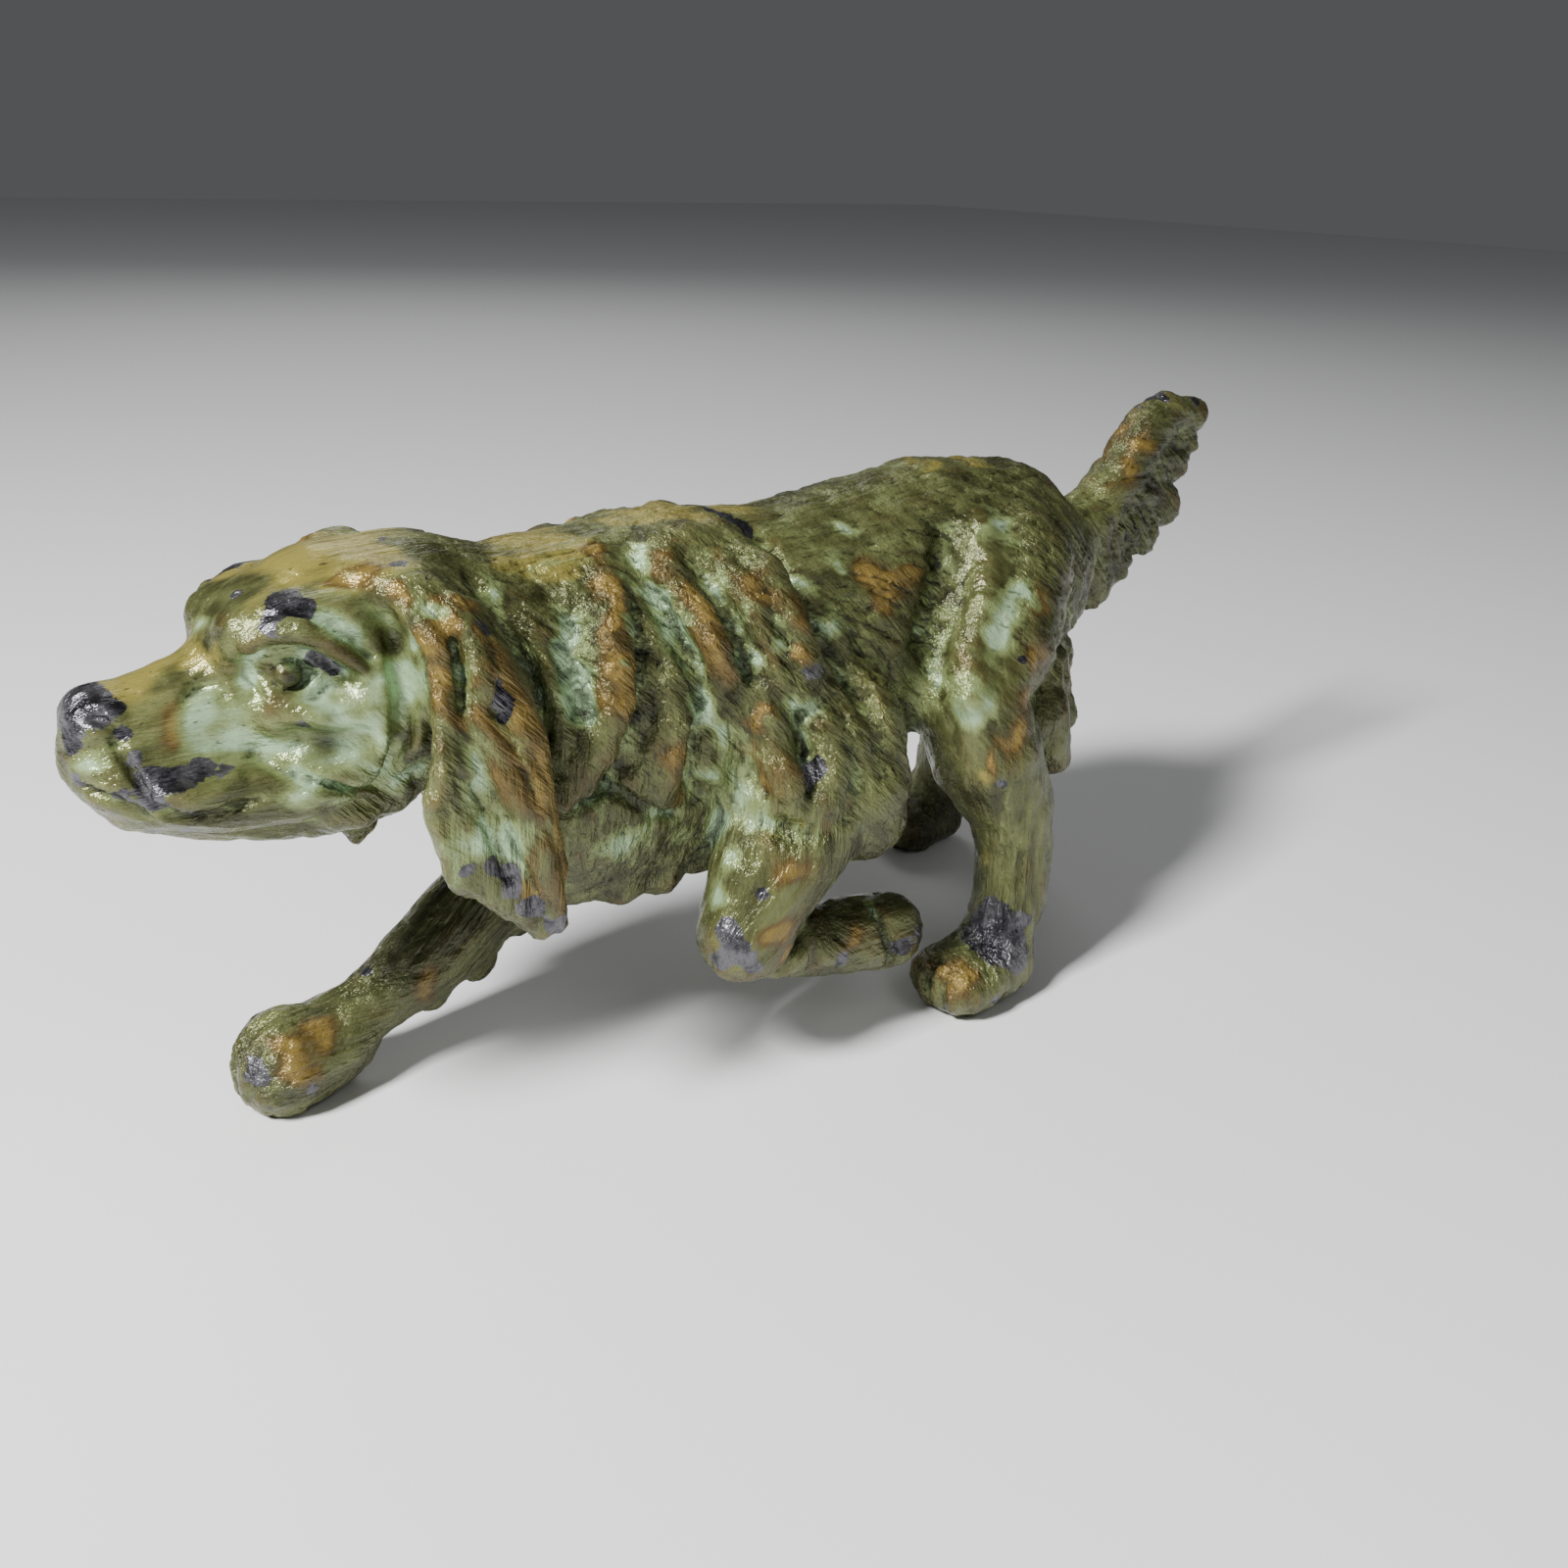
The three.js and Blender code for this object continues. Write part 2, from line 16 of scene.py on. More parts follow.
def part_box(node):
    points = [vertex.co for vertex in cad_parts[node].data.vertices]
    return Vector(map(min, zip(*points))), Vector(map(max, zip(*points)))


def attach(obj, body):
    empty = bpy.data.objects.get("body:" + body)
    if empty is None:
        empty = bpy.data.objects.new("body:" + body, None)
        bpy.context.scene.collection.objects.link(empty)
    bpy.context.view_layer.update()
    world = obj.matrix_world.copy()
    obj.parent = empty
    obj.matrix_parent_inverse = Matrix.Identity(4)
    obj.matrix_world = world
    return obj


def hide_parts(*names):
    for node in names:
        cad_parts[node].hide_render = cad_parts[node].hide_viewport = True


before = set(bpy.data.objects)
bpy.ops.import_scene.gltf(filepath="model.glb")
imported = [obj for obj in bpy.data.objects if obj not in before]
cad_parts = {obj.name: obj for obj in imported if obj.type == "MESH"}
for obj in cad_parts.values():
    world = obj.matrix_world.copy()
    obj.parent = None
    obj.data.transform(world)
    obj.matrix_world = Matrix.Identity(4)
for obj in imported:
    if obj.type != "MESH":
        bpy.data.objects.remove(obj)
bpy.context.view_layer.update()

NODE = "setter"
LOW_CORNER, HIGH_CORNER = (np.array(c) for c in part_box(NODE))

# The solid's own box in drawn units, and the grid's box, which leaves room round it.
DRAWN_LOW = (-160.1, -33.3, 0)
DRAWN_HIGH = (66.4, 33.2, 97.5)
GRID_LOW = (-165, -41, -6)
GRID_HIGH = (73, 41, 104)

# Grid spacing along the head, along the body, across the dog, and upward over the face.
HEAD_STEP = 0.54
BODY_STEP = 1.3
CROSS_STEP = 0.84
FACE_STEP = 0.62
HEAD_ENDS = -104
CHIN = 57

# The field's value far from every form, and how far beyond its balls a form acts.
FAR = 12.0
REACH = 7.0

# The field is sampled once for each block of grid points, then in full in the blocks near the surface.
BLOCK = 4
BLOCK_REACH = 5.5

# A ball with a fifth value is flattened to it along this direction, unless its form gives another.
ACROSS = (0, 1, 0)

# Where the flank is looked for, from the outside inward, and the height below which the ear sways.
FLANK_OUTSIDE = 41.0
FLANK_INSIDE = -2.0
FLANK_STEP = 0.25
SWAY_BELOW = 80


def chain(blend, *points, **more):
    """A chain of balls, how softly it melts in, and whether it is mirrored, sunk, swaying or flattened."""
    return {"blend": blend, "points": points, **more}


def ridge(blend, *points, **more):
    """A raised stroke on both flanks."""
    return chain(blend, *points, mirror=True, **more)


def groove(blend, *points, **more):
    """A sunk stroke on both flanks."""
    return chain(blend, *points, mirror=True, sink=True, **more)


def left_ridge(blend, *points):
    """A raised stroke on the left flank."""
    return chain(blend, *points)


def left_groove(blend, *points):
    """A sunk stroke on the left flank."""
    return chain(blend, *points, sink=True)


def ring(x, z, size, radius, lift):
    """Eight places round a circle to a tenth of a unit, and the first once more."""
    turns = [(size * math.cos(k * math.pi / 4), size * math.sin(k * math.pi / 4)) for k in range(9)]
    return [(round(x + dx, 1), round(z + dz, 1), radius, lift) for dx, dz in turns]


# The solid's forms, as chains of balls (x, y, z, radius, thickness).
FORMS = [
    # Trunk, from the rump to the chest.
    chain(
        6, (12, 0, 67, 16.5, 13.5), (3, 0, 68, 21.5, 17), (-14, 0, 68.5, 22.5, 18),
        (-34, 0, 64, 24.5, 19), (-54, 0, 59, 28, 20), (-71, 0, 59.5, 29.5, 19.5),
        (-82, 0, 58, 28.5, 18.5),
    ),
    # Neck.
    chain(
        6, (-84, 0, 64, 22, 17), (-97, 0, 67.5, 20, 16), (-107, 0, 70.5, 17, 14.5),
        (-116, 0, 74, 15, 13.5),
    ),
    # Skull.
    chain(4, (-115, 0, 76, 14.5, 13.5), (-125, 0, 77, 14, 12.5), (-131, 0, 76.5, 12, 10.5)),
    # Muzzle and lower jaw.
    chain(4, (-134, 0, 69, 10.4, 9), (-145, 0, 68.4, 9.8, 7.2), (-151.5, 0, 68, 8.6, 6.8)),
    chain(
        3, (-151, 0, 60.5, 4, 5), (-140, 0, 57.5, 5, 6.5), (-128, 0, 56.5, 6.5, 8.5),
        (-120, 0, 58.5, 8, 9.5),
    ),
    # Lips that hang on each side of the muzzle.
    chain(
        2.5, (-153.5, -3.4, 65.5, 4.2), (-148.5, -5, 63, 4.8), (-141, -6.3, 61.5, 5), (-134, -8, 61, 4.6),
        mirror=True,
    ),
    # Nose.
    chain(1.5, (-155.5, 0, 72.6, 3.8, 4.6)),
    chain(1.5, (-155.6, -2.8, 72.4, 2.8), mirror=True),
    # Cheeks, brows and cheekbones.
    chain(4, (-121, -7.5, 69, 8.5), (-128, -7.5, 65, 7), mirror=True),
    chain(2.5, (-138, -5.5, 81.5, 3.8), (-133, -8.2, 83, 4), (-127.5, -10, 82.8, 3.6), mirror=True),
    chain(2, (-136, -8.6, 71.2, 2.2), (-131.5, -10.6, 70.2, 2.8), (-126, -12.2, 71, 2.6), mirror=True),
    # Ears, hanging from the top of the skull over the neck.
    chain(
        2.5, (-118, -11, 85, 4.5, 3.4), (-113.5, -15, 78, 6.5, 3.4), (-111, -18, 69, 7.8, 3.2),
        (-112, -19, 60, 10, 3), (-111, -19.5, 52.5, 9, 3), (-106.5, -20, 44.5, 5.6, 2.8),
        (-103.5, -20, 38.5, 3.2, 2.6), normal=(-0.25, 0.96, 0.1),
    ),
    chain(
        2.5, (-123, -8.5, 87, 2.8), (-117, -13.5, 84, 3.2), (-111.5, -18.5, 76, 3.4),
        (-108, -21, 66, 3.4), (-106, -22, 55, 3), (-104, -21.5, 45.5, 2.6),
    ),
    chain(
        2.5, (-118, 11, 85, 4.5, 3.4), (-114.5, 15, 78, 6.5, 3.4), (-113.5, 18, 69, 7.8, 3.2),
        (-116, 19, 60, 9.6, 3), (-116.5, 19.5, 52.5, 8.4, 3), (-114.5, 20, 45.5, 5.6, 2.8),
        (-113, 20, 41.5, 3.6, 2.6), normal=(0.25, 0.96, -0.1),
    ),
    chain(
        2.5, (-123, 8.5, 87, 2.8), (-117.5, 13.5, 84, 3.2), (-113, 18.5, 76, 3.4), (-110.5, 21, 66, 3.4),
        (-110, 22, 55, 3), (-111, 21.5, 47, 2.6),
    ),
    # Shoulder blades and upper arms.
    chain(
        4, (-74, -9.5, 82, 7, 4), (-67, -15.5, 73, 10, 5), (-59, -18.5, 62, 12, 5.5),
        (-50, -20, 52, 10, 5.5),
    ),
    chain(
        4, (-74, 9.5, 80, 7, 4), (-74, 15, 71, 10, 5), (-78, 16.5, 59, 11, 5.5), (-82, 16, 46, 10, 5.5),
    ),
    # Left foreleg: elbow tuft, forearm, wrist and the folded paw.
    chain(4, (-48, -20.5, 54, 9), (-46.5, -22, 45.5, 8.2), (-45.5, -22, 39.5, 7)),
    chain(3.5, (-50, -21, 45, 8.5), (-60, -21.5, 36, 8), (-69, -22, 26.5, 6.4)),
    chain(4, (-60, -19.5, 46, 8.5), (-66, -21, 35, 7), (-69, -22, 27, 6)),
    chain(2, (-69.5, -22, 25, 5.8), (-58, -22, 20.5, 5), (-48, -22, 18.8, 6), (-38.5, -22, 16.8, 6)),
    # Right foreleg, reaching forward.
    chain(
        5, (-80, 13, 44, 11), (-85, 14, 33, 9), (-93, 15, 24.5, 7.4), (-102, 15, 18, 6.8),
        (-111, 15, 12.8, 5.4), (-118, 15, 9.4, 5),
    ),
    chain(3, (-120.5, 15, 7.2, 6.6), (-127.5, 15, 6.8, 7.9)),
    # Left hind leg under the hip.
    chain(
        5, (-4, -11.5, 72, 12), (-12, -16.5, 63, 12), (-20, -20.5, 54, 9.5), (-17.5, -22.5, 44.5, 9.8),
        (-12.5, -24.2, 34.5, 7.8), (-11, -25, 26, 6.4), (-12, -25.5, 17, 6.2), (-15.5, -26, 8, 5.8),
    ),
    chain(3, (-16, -26, 5.8, 7, 5.8), (-24.4, -26, 5, 7.8, 5.6), normal=(0.2, 0, 0.98)),
    # Right hind leg, pushed back.
    chain(
        5, (4, 11, 69, 13), (2, 16, 58, 12.5), (0, 20, 49, 10), (12, 23, 38, 7.5), (24, 25, 26, 6),
        (23, 26, 15, 5.4), (20, 26, 8, 5.4),
    ),
    chain(3, (20, 26, 5.8, 7, 5.8), (13.8, 26, 5, 7.6, 5.6), normal=(0.2, 0, 0.98)),
    # Breeches, the long hair behind the thighs.
    chain(3, (6, -8, 69, 8, 6), (14, -8, 61, 5, 4)),
    chain(2.5, (1, -13, 62, 8, 6), (8.5, -14, 53.5, 4, 3.5)),
    chain(2.5, (-1, -18, 54, 7, 5), (5, -19, 45.5, 3.6, 3)),
    chain(2.5, (-3, -21, 47, 6, 5), (1.5, -22, 39, 3.2, 2.8)),
    chain(3, (12, 12, 64, 8, 6), (19, 13, 55, 4.5, 4)),
    chain(2.5, (9, 18, 54, 7, 5), (20, 20, 45, 4, 3)),
    # Tail.
    chain(
        3.5, (22, 0, 71, 7), (34, 0, 76, 5), (42.5, 0, 84, 4.4), (48.5, 0, 91, 4.6), (55, 0, 94.2, 4),
        (63, 0, 93, 3.6),
    ),
    # Locks of the tail's plume.
    chain(2, (53, 0, 91, 4, 3), (62, 0, 87.5, 3, 2.2)),
    chain(2, (47, 0, 86, 5, 3.4), (59, 0, 83, 3.6, 2.4)),
    chain(2, (42, 0, 80, 6, 3.8), (57, 0, 74.5, 4.4, 2.6)),
    chain(2, (37, 0, 76, 7, 4.2), (50, 0, 69, 4.2, 2.8)),
    chain(2, (32, 0, 72, 7.5, 4.6), (42, 0, 64, 4.2, 3)),
    chain(2.5, (26, 0, 69, 8, 5), (35.5, 0, 60, 4.4, 3.2)),
    # Long hair under the chest.
    chain(3, (-90, -2, 38, 7, 6), (-88, -3, 32.5, 3.6, 4)),
    chain(3, (-82, -3, 38, 7.5, 7), (-81, -4, 31.5, 4, 5)),
    chain(3, (-74, -4, 38, 7.5, 7), (-74, -5, 31.5, 4, 5)),
    chain(3, (-66, -4, 38, 6.5, 7), (-66, -5, 32.5, 3.6, 4.5)),
    # Long hair behind the reaching foreleg.
    chain(2.5, (-90, 15, 27, 6, 5), (-87, 15, 17.5, 3.2, 2.8)),
    chain(2.5, (-98, 15, 20, 6, 5), (-94.5, 15, 12, 3.4, 2.8)),
    chain(2.5, (-106, 15, 15, 5, 4.5), (-103, 15, 9.4, 3.2, 2.8)),
]

# The solid's folds on the flanks, as strokes of (x, z, radius, lift).
FOLDS = [
    # Collar roll round the neck, and the hollow behind it.
    ridge(
        2, (-87, 85, 2.4, -1.5), (-88, 80, 3, -1), (-90, 74, 3.3, -0.8), (-90.5, 67, 3.3, -0.8),
        (-93, 60, 3, -1), (-97, 53, 2.6, -1.2),
    ),
    groove(
        1.5, (-83, 85, 1.6, 0.5), (-83.5, 78, 2, 0.4), (-84.5, 70, 2.2, 0.4), (-86.5, 62, 2.2, 0.4),
        (-91, 54, 2, 0.6),
    ),
    # Folds over the shoulder.
    ridge(2, (-79, 84, 2, -0.8), (-77, 79, 2.7, -0.6), (-74.5, 73, 2.9, -0.6), (-72, 67, 2.2, -1.2)),
    ridge(1.8, (-81, 68, 1.8, -1), (-80.5, 61, 2.4, -0.6), (-81, 54, 2.4, -0.6), (-82, 48, 1.6, -1.2)),
    # Rear edge of the shoulder blade, and the crease between it and the ribs.
    ridge(
        2, (-66, 86, 2.6, -1), (-63.5, 81, 3, -0.7), (-61.5, 75, 3.3, -0.6), (-60, 69, 3, -0.8),
        (-60, 64, 2.4, -1.4),
    ),
    left_groove(
        1.5, (-58, 85, 1.6, 0.5), (-56.5, 78, 2.1, 0.3), (-54, 71, 2.3, 0.2), (-50.5, 64, 2.3, 0.2),
        (-49, 57, 2, 0.6), (-48, 50, 1.6, 1),
    ),
    # Crease round the upper arm.
    left_groove(
        1.5, (-77.5, 60, 1.5, 0.5), (-78, 53, 1.9, 0.3), (-75, 48, 1.9, 0.3), (-68, 44.5, 1.8, 0.5),
        (-61, 42.5, 1.4, 0.7),
    ),
    # Hips, and the front edge of the thigh.
    ridge(2.5, (-14, 81, 3, -1.3)),
    left_ridge(2.5, (-15, 77, 2.4, -1), (-19, 71, 2.8, -0.6), (-24, 63, 3.2, -0.8), (-26, 57, 3, -1)),
    left_groove(3, (-22, 82, 2.4, 1.2), (-25, 75, 3, 0.8), (-30, 66, 3.2, 0.8)),
    # Eye sockets and eyes.
    groove(1.6, (-139.5, 77, 2.4, 1.3), (-134.5, 77.5, 2.8, 1.3), (-129.5, 76.4, 2.4, 1.4)),
    ridge(1, (-134.7, 76.8, 2.6, -1.6)),
]

# Hair combings: place, direction, and how far each reaches. Both sides of the dog share them.
COMBING = [
    (-150, 5, 70, 1, 0, 0.1, 8), (-135, 10, 72, 1, 0, -0.2, 8), (-120, 12, 70, 1, 0, -0.5, 8),
    (-125, 5, 90, 1, 0, 0, 8), (-112, 18, 80, 0.5, 0, -1, 8), (-110, 20, 55, 0.3, 0, -1, 10),
    (-98, 16, 80, 0.8, 0, -0.6, 10), (-95, 12, 55, 0.4, 0, -1, 10), (-92, 0, 88, 1, 0, 0, 8),
    (-75, 14, 80, 0.8, 0.2, -0.9, 10), (-72, 18, 60, 0.5, 0, -1, 12), (-78, 8, 36, 0.3, 0, -1, 12),
    (-60, 20, 60, 0.8, 0, -0.8, 10), (-55, 8, 86, 1, 0.2, -0.1, 12), (-40, 16, 72, 1, 0, -0.45, 14),
    (-35, 16, 55, 1, 0, -0.7, 12), (-20, 10, 86, 1, 0.2, -0.2, 14), (0, 14, 78, 0.9, 0, -0.6, 12),
    (10, 10, 70, 0.6, 0, -1, 12), (-15, 20, 62, 0.1, 0, -1, 12), (-14, 24, 40, 0.2, 0, -1, 12),
    (-10, 26, 20, 0, 0, -1, 12), (-45, 22, 46, 0.6, 0, -0.8, 10), (-60, 22, 33, -0.8, 0, -0.6, 10),
    (-45, 22, 18, 1, 0, -0.1, 10), (-95, 15, 23, -0.9, 0, -0.5, 14), (-120, 15, 8, -1, 0, -0.2, 10),
    (20, 22, 25, 0.3, 0, -1, 14), (40, 0, 82, 0.7, 0, 0.7, 8), (50, 0, 76, 0.5, 0, -0.9, 9),
    (38, 0, 66, 0.4, 0, -0.9, 9), (58, 0, 88, 0.8, 0, -0.4, 6),
]

# Modelled detail that only the appearance has, as strokes on the flanks.
FACE = [
    # Groove round the eye, the eyelids, and the heavy fold over them.
    groove(0.3, *ring(-134.7, 76.8, 2.3, 0.6, 0.15)),
    ridge(
        0.4, (-138.2, 77.2, 0.6, 0.1), (-136.9, 79, 0.8, 0.3), (-134.9, 80, 0.9, 0.3),
        (-132.6, 79.3, 0.9, 0.3), (-130.9, 77.4, 0.8, 0.2), (-128.8, 75.6, 0.6, 0),
    ),
    ridge(
        0.4, (-138.2, 76.8, 0.5, 0), (-136.8, 74.6, 0.8, 0.1), (-134.6, 73.7, 0.9, 0.2),
        (-132.2, 74.3, 0.9, 0.2), (-130.6, 75.6, 0.7, 0.1),
    ),
    groove(
        0.4, (-139.4, 79.6, 0.6, 0.1), (-137, 81, 0.7, 0.1), (-134.4, 81.5, 0.7, 0.1),
        (-131.8, 80.4, 0.7, 0.1), (-129.4, 78.2, 0.6, 0.2),
    ),
    ridge(
        0.7, (-139.2, 81.4, 1.2, -0.1), (-136.6, 83, 1.6, 0), (-133.6, 83, 1.8, 0),
        (-130.8, 81.4, 1.7, 0), (-128, 79, 1.5, -0.1), (-125.6, 76.6, 1.1, -0.4),
    ),
    groove(
        0.8, (-134.5, 85.8, 0.9, 0.3), (-131, 84.6, 1.1, 0.2), (-127.8, 82, 1.1, 0.2),
        (-124.8, 78.6, 1, 0.3),
    ),
    # Cheekbone, the hollow under it, and creases in the cheek.
    ridge(1.2, (-136.5, 73, 1.1, -0.5), (-133.8, 71.9, 1.6, -0.5), (-131.7, 71, 1.4, -0.6)),
    groove(2, (-134.5, 68.4, 2, 1.2), (-130.8, 67.2, 2.6, 1.4), (-127.6, 67.6, 2.2, 1.3)),
    groove(
        0.8, (-139.2, 66.9, 0.8, 0.4), (-136.5, 64.6, 0.9, 0.3), (-132.4, 62.6, 0.9, 0.3),
        (-124, 59.2, 0.8, 0.4),
    ),
    groove(
        0.6, (-146.5, 74.2, 0.6, 0.2), (-144.5, 75.6, 0.8, 0.1), (-142.4, 76, 0.7, 0.1),
        (-141.8, 74.6, 0.6, 0.2),
    ),
    # Nostrils.
    groove(
        0.5, (-157.8, 74, 0.7, 0.2), (-156.3, 73.9, 0.9, 0), (-154.9, 72.8, 0.7, 0.1),
        (-153.8, 71.6, 0.5, 0.2),
    ),
    # Lips: the front edge of the hanging lip, its lower edge, and the line of the mouth.
    groove(
        0.5, (-155, 70.8, 0.6, 0.2), (-154, 68.4, 0.7, 0.1), (-153.2, 66.2, 0.8, 0), (-152.2, 64, 0.8, 0),
        (-150.8, 62, 0.8, 0.1),
    ),
    ridge(
        0.7, (-150.4, 64.2, 1.4, -0.6), (-147.5, 63, 1.8, -0.6), (-144.5, 63, 1.7, -0.6),
        (-142, 64.2, 1.4, -0.7),
    ),
    groove(
        0.5, (-151, 62, 0.9, 0), (-148.6, 60.6, 0.9, 0), (-145.5, 60.2, 0.9, 0), (-142.8, 61, 0.8, 0.1),
        (-139.5, 62, 0.6, 0.3),
    ),
    groove(
        0.5, (-158.6, 65.4, 0.6, 0.1), (-156, 63.9, 0.8, 0), (-153.6, 62.2, 0.8, 0),
        (-151.4, 60, 0.7, 0.2),
    ),
    # Throat.
    left_ridge(1.2, (-128.5, 56, 2.3, -1.4), (-124.5, 55, 2.6, -1.5)),
]

FUR_FOLDS = [
    # Ear: the roll along its front edge, ridges, and the hollows before and behind it.
    ridge(
        1, (-120.6, 84.5, 1.2, -0.5), (-119.2, 82, 1.7, 0), (-118.2, 80, 1.9, 0.1), (-118, 75, 1.9, 0.1),
        (-118.4, 70, 1.7, 0), (-119.4, 65, 1.4, 0), (-120.6, 60.5, 1.2, -0.1), sway=0.25,
    ),
    groove(
        0.9, (-122.8, 83.5, 1.2, 0.3), (-121.8, 80, 1.8, -0.1), (-121.4, 73, 1.8, -0.1),
        (-121.8, 67, 1.8, -0.1), (-122.8, 61, 1.6, 0), sway=0.25,
    ),
    groove(0.9, (-116.4, 80, 0.9, 0.2), (-116, 76, 1.1, 0.2), (-116.2, 72, 0.9, 0.2), sway=0.25),
    ridge(
        1, (-115.4, 85, 1.2, -0.1), (-114, 80, 1.7, 0), (-113.5, 76, 1.8, 0), (-114.4, 71, 1.4, -0.1),
        sway=0.25,
    ),
    ridge(
        1, (-113.6, 69, 1.7, -0.1), (-111.5, 64, 2.3, -0.1), (-109.5, 58, 2.4, -0.1),
        (-107, 51, 2.2, -0.1), (-104.5, 44, 1.7, -0.1), (-102.5, 38, 1.3, -0.1), sway=0.25,
    ),
    groove(0.8, (-115.4, 62, 0.8, 0.3), (-113.8, 55, 0.9, 0.3), (-110.5, 47, 0.8, 0.3), sway=0.25),
    groove(
        0.8, (-108.5, 85.5, 1.2, 0.1), (-105.4, 80, 1.7, -0.1), (-102.6, 73, 1.8, -0.2),
        (-101.4, 65, 1.8, -0.2), (-100.8, 56, 1.7, -0.1), (-100, 48, 1.4, 0), sway=0.25,
    ),
    # Neck: two small folds between the ear and the collar roll.
    groove(0.9, (-98.5, 85, 1.1, 0), (-96.6, 81, 1.4, -0.2), (-94.8, 77, 1.2, -0.1)),
    groove(1.4, (-97.4, 75, 1.9, 0.2), (-96.4, 70.5, 2.3, 0.2), (-95.6, 66, 1.9, 0.2)),
    ridge(
        0.9, (-84.4, 84, 1.2, -0.1), (-83, 79, 1.6, 0), (-83, 72, 1.7, 0), (-85, 65, 1.6, 0),
        (-88, 58, 1.3, -0.1),
    ),
    # Shoulder: grooves on each side of the folds.
    groove(1, (-75, 85, 1.2, 0), (-72.8, 80, 1.7, -0.2), (-70.4, 74, 1.9, -0.3), (-68.8, 67, 1.4, 0)),
    groove(1.2, (-81.4, 81, 1.2, 0.1), (-79.6, 75, 1.8, -0.1), (-77, 69, 1.8, -0.1), (-76, 64, 1.2, 0.1)),
    ridge(1, (-69.6, 83, 1.2, 0), (-67.4, 77, 1.8, 0.1), (-65.4, 71, 1.9, 0), (-64.6, 65, 1.4, -0.1)),
    # Edge of the chest's long hair under the collar.
    groove(
        0.8, (-98, 50, 1.1, 0), (-94.5, 51.5, 1.3, -0.2), (-91.5, 54, 1.2, -0.1), (-88, 51.5, 1.3, -0.2),
        (-83.5, 47.5, 1.3, -0.1), (-79, 46, 1.2, 0),
    ),
    # Upper arm.
    left_ridge(1.4, (-66, 60, 2.4, -0.5), (-65, 55, 3.1, -0.2), (-64, 50, 2.6, -0.5)),
    left_ridge(1.2, (-57, 58, 2.4, -0.5), (-56, 52, 2.9, -0.3), (-58, 47, 2.4, -0.6)),
    left_groove(0.9, (-61.4, 60, 1, 0), (-60.6, 54, 1.3, -0.2), (-61, 49, 1, 0)),
    # Folded paw: between the toes, and the crease at the wrist.
    left_groove(
        0.6, (-44.5, 23.4, 1, -0.1), (-43.4, 19.5, 1.2, -0.3), (-42, 15.5, 1.1, -0.2),
        (-41, 12.6, 0.8, 0),
    ),
    left_groove(0.8, (-60, 25, 1.2, 0.1), (-63.5, 22.5, 1.2, 0), (-65, 19, 1.1, 0.1)),
]

# The three standing paws: centre of the ball of toes, and its radius. Grooves run over its front, each a
# share of that radius to the side.
PAWS = [(-127.5, 15, 6.8, 7.9), (-24.4, -26, 5, 7), (13.8, 26, 5, 7)]
TOE_GROOVES = (-0.46, 0.04, 0.5)
TOE_GROOVE_ANGLES = (-0.4, 0.3, 0.9, 1.3)
TOE_GROOVE_RADIUS = 0.9
TOE_GROOVE_BLEND = 0.8

# Rounds of smoothing that tell folds and hairs from their hollows, and how much the folds are deepened.
FOLD_ROUNDS = 30
HAIR_ROUNDS = 2
FOLD_CONTRAST = 0.3

# Hair is made of clumps, locks and strands: how wide each is, and how high or deep it is cut.
# It fades in the smooth places and grows in the deep ones.
CLUMP_WIDTH, CLUMP_HEIGHT = 4.2, 0.05
LOCK_WIDTH, LOCK_DEPTH, LOCK_LIMIT = 1.9, 0.36, 1.4
STRAND_WIDTH, STRAND_DEPTH, STRAND_LIMIT = 1.15, 0.16, 1.2
LOCK_SHARPNESS = 0.7
MEAN_HEIGHT = 0.6
SMOOTH_FADE = 0.85
DEEP_GROWTH = 1.2

# The table of random numbers behind the hair, along each side, and its seed.
TABLE_SIZE = 48
SEED = 7

# The ways that hair lies in the paint, in degrees down from the tail's direction, a step apart.
LIE_STEP = 45
HAIR_LIES = (0, 45, 90, 135)

# Depth of hollow that the paint takes as full, for folds and for hair.
FULL_FOLD = 2.4
FULL_HAIR = 0.3

# Streaks in the paint, and how widely and how far the edges of patches wander.
STREAK_WIDTH, STREAK_STRENGTH = 1.5, 0.2
WANDER_WIDTH = 3
WANDER = {"mint": 0.9, "ochre": 0.9, "gold": 1.3, "lead": 0.4}
# Share of the painted shade that the dim places take.
DIM_SHARE = 0.5

# Paint colours.
OLIVE_DARK = (0.035, 0.036, 0.011, 1)
OLIVE = (0.135, 0.148, 0.052, 1)
BROWN = (0.1, 0.066, 0.018, 1)
OCHRE_PAINT = (0.21, 0.145, 0.035, 1)
GOLD_PAINT = (0.25, 0.215, 0.05, 1)
LEAF = (0.19, 0.235, 0.09, 1)
MINT_PAINT = (0.34, 0.48, 0.29, 1)
# The dark colour of the painted shade in creases, folds and shade places, and of the flecks.
SHADE_AND_FLECK_DARK = (0.016, 0.016, 0.007, 1)
LEAD_DARK = (0.045, 0.043, 0.05, 1)
LEAD_BRIGHT = (0.14, 0.138, 0.147, 1)

# Strokes in the paint: length along the hair and width across it in metres, and detail.
STRAND_STROKE = (0.007, 0.00085, 3)
GROOVE_STROKE = (0.022, 0.0032, 1)
FLECK_STROKE = (0.0022, 0.0007, 2)

# Noise in the paint: scale, detail and roughness.
BLOTCH_NOISE = (70, 5, 0.6)
CLOUD_NOISE = (260, 5, 0.65)
GRAIN_NOISE = (1000, 4, 0.7)

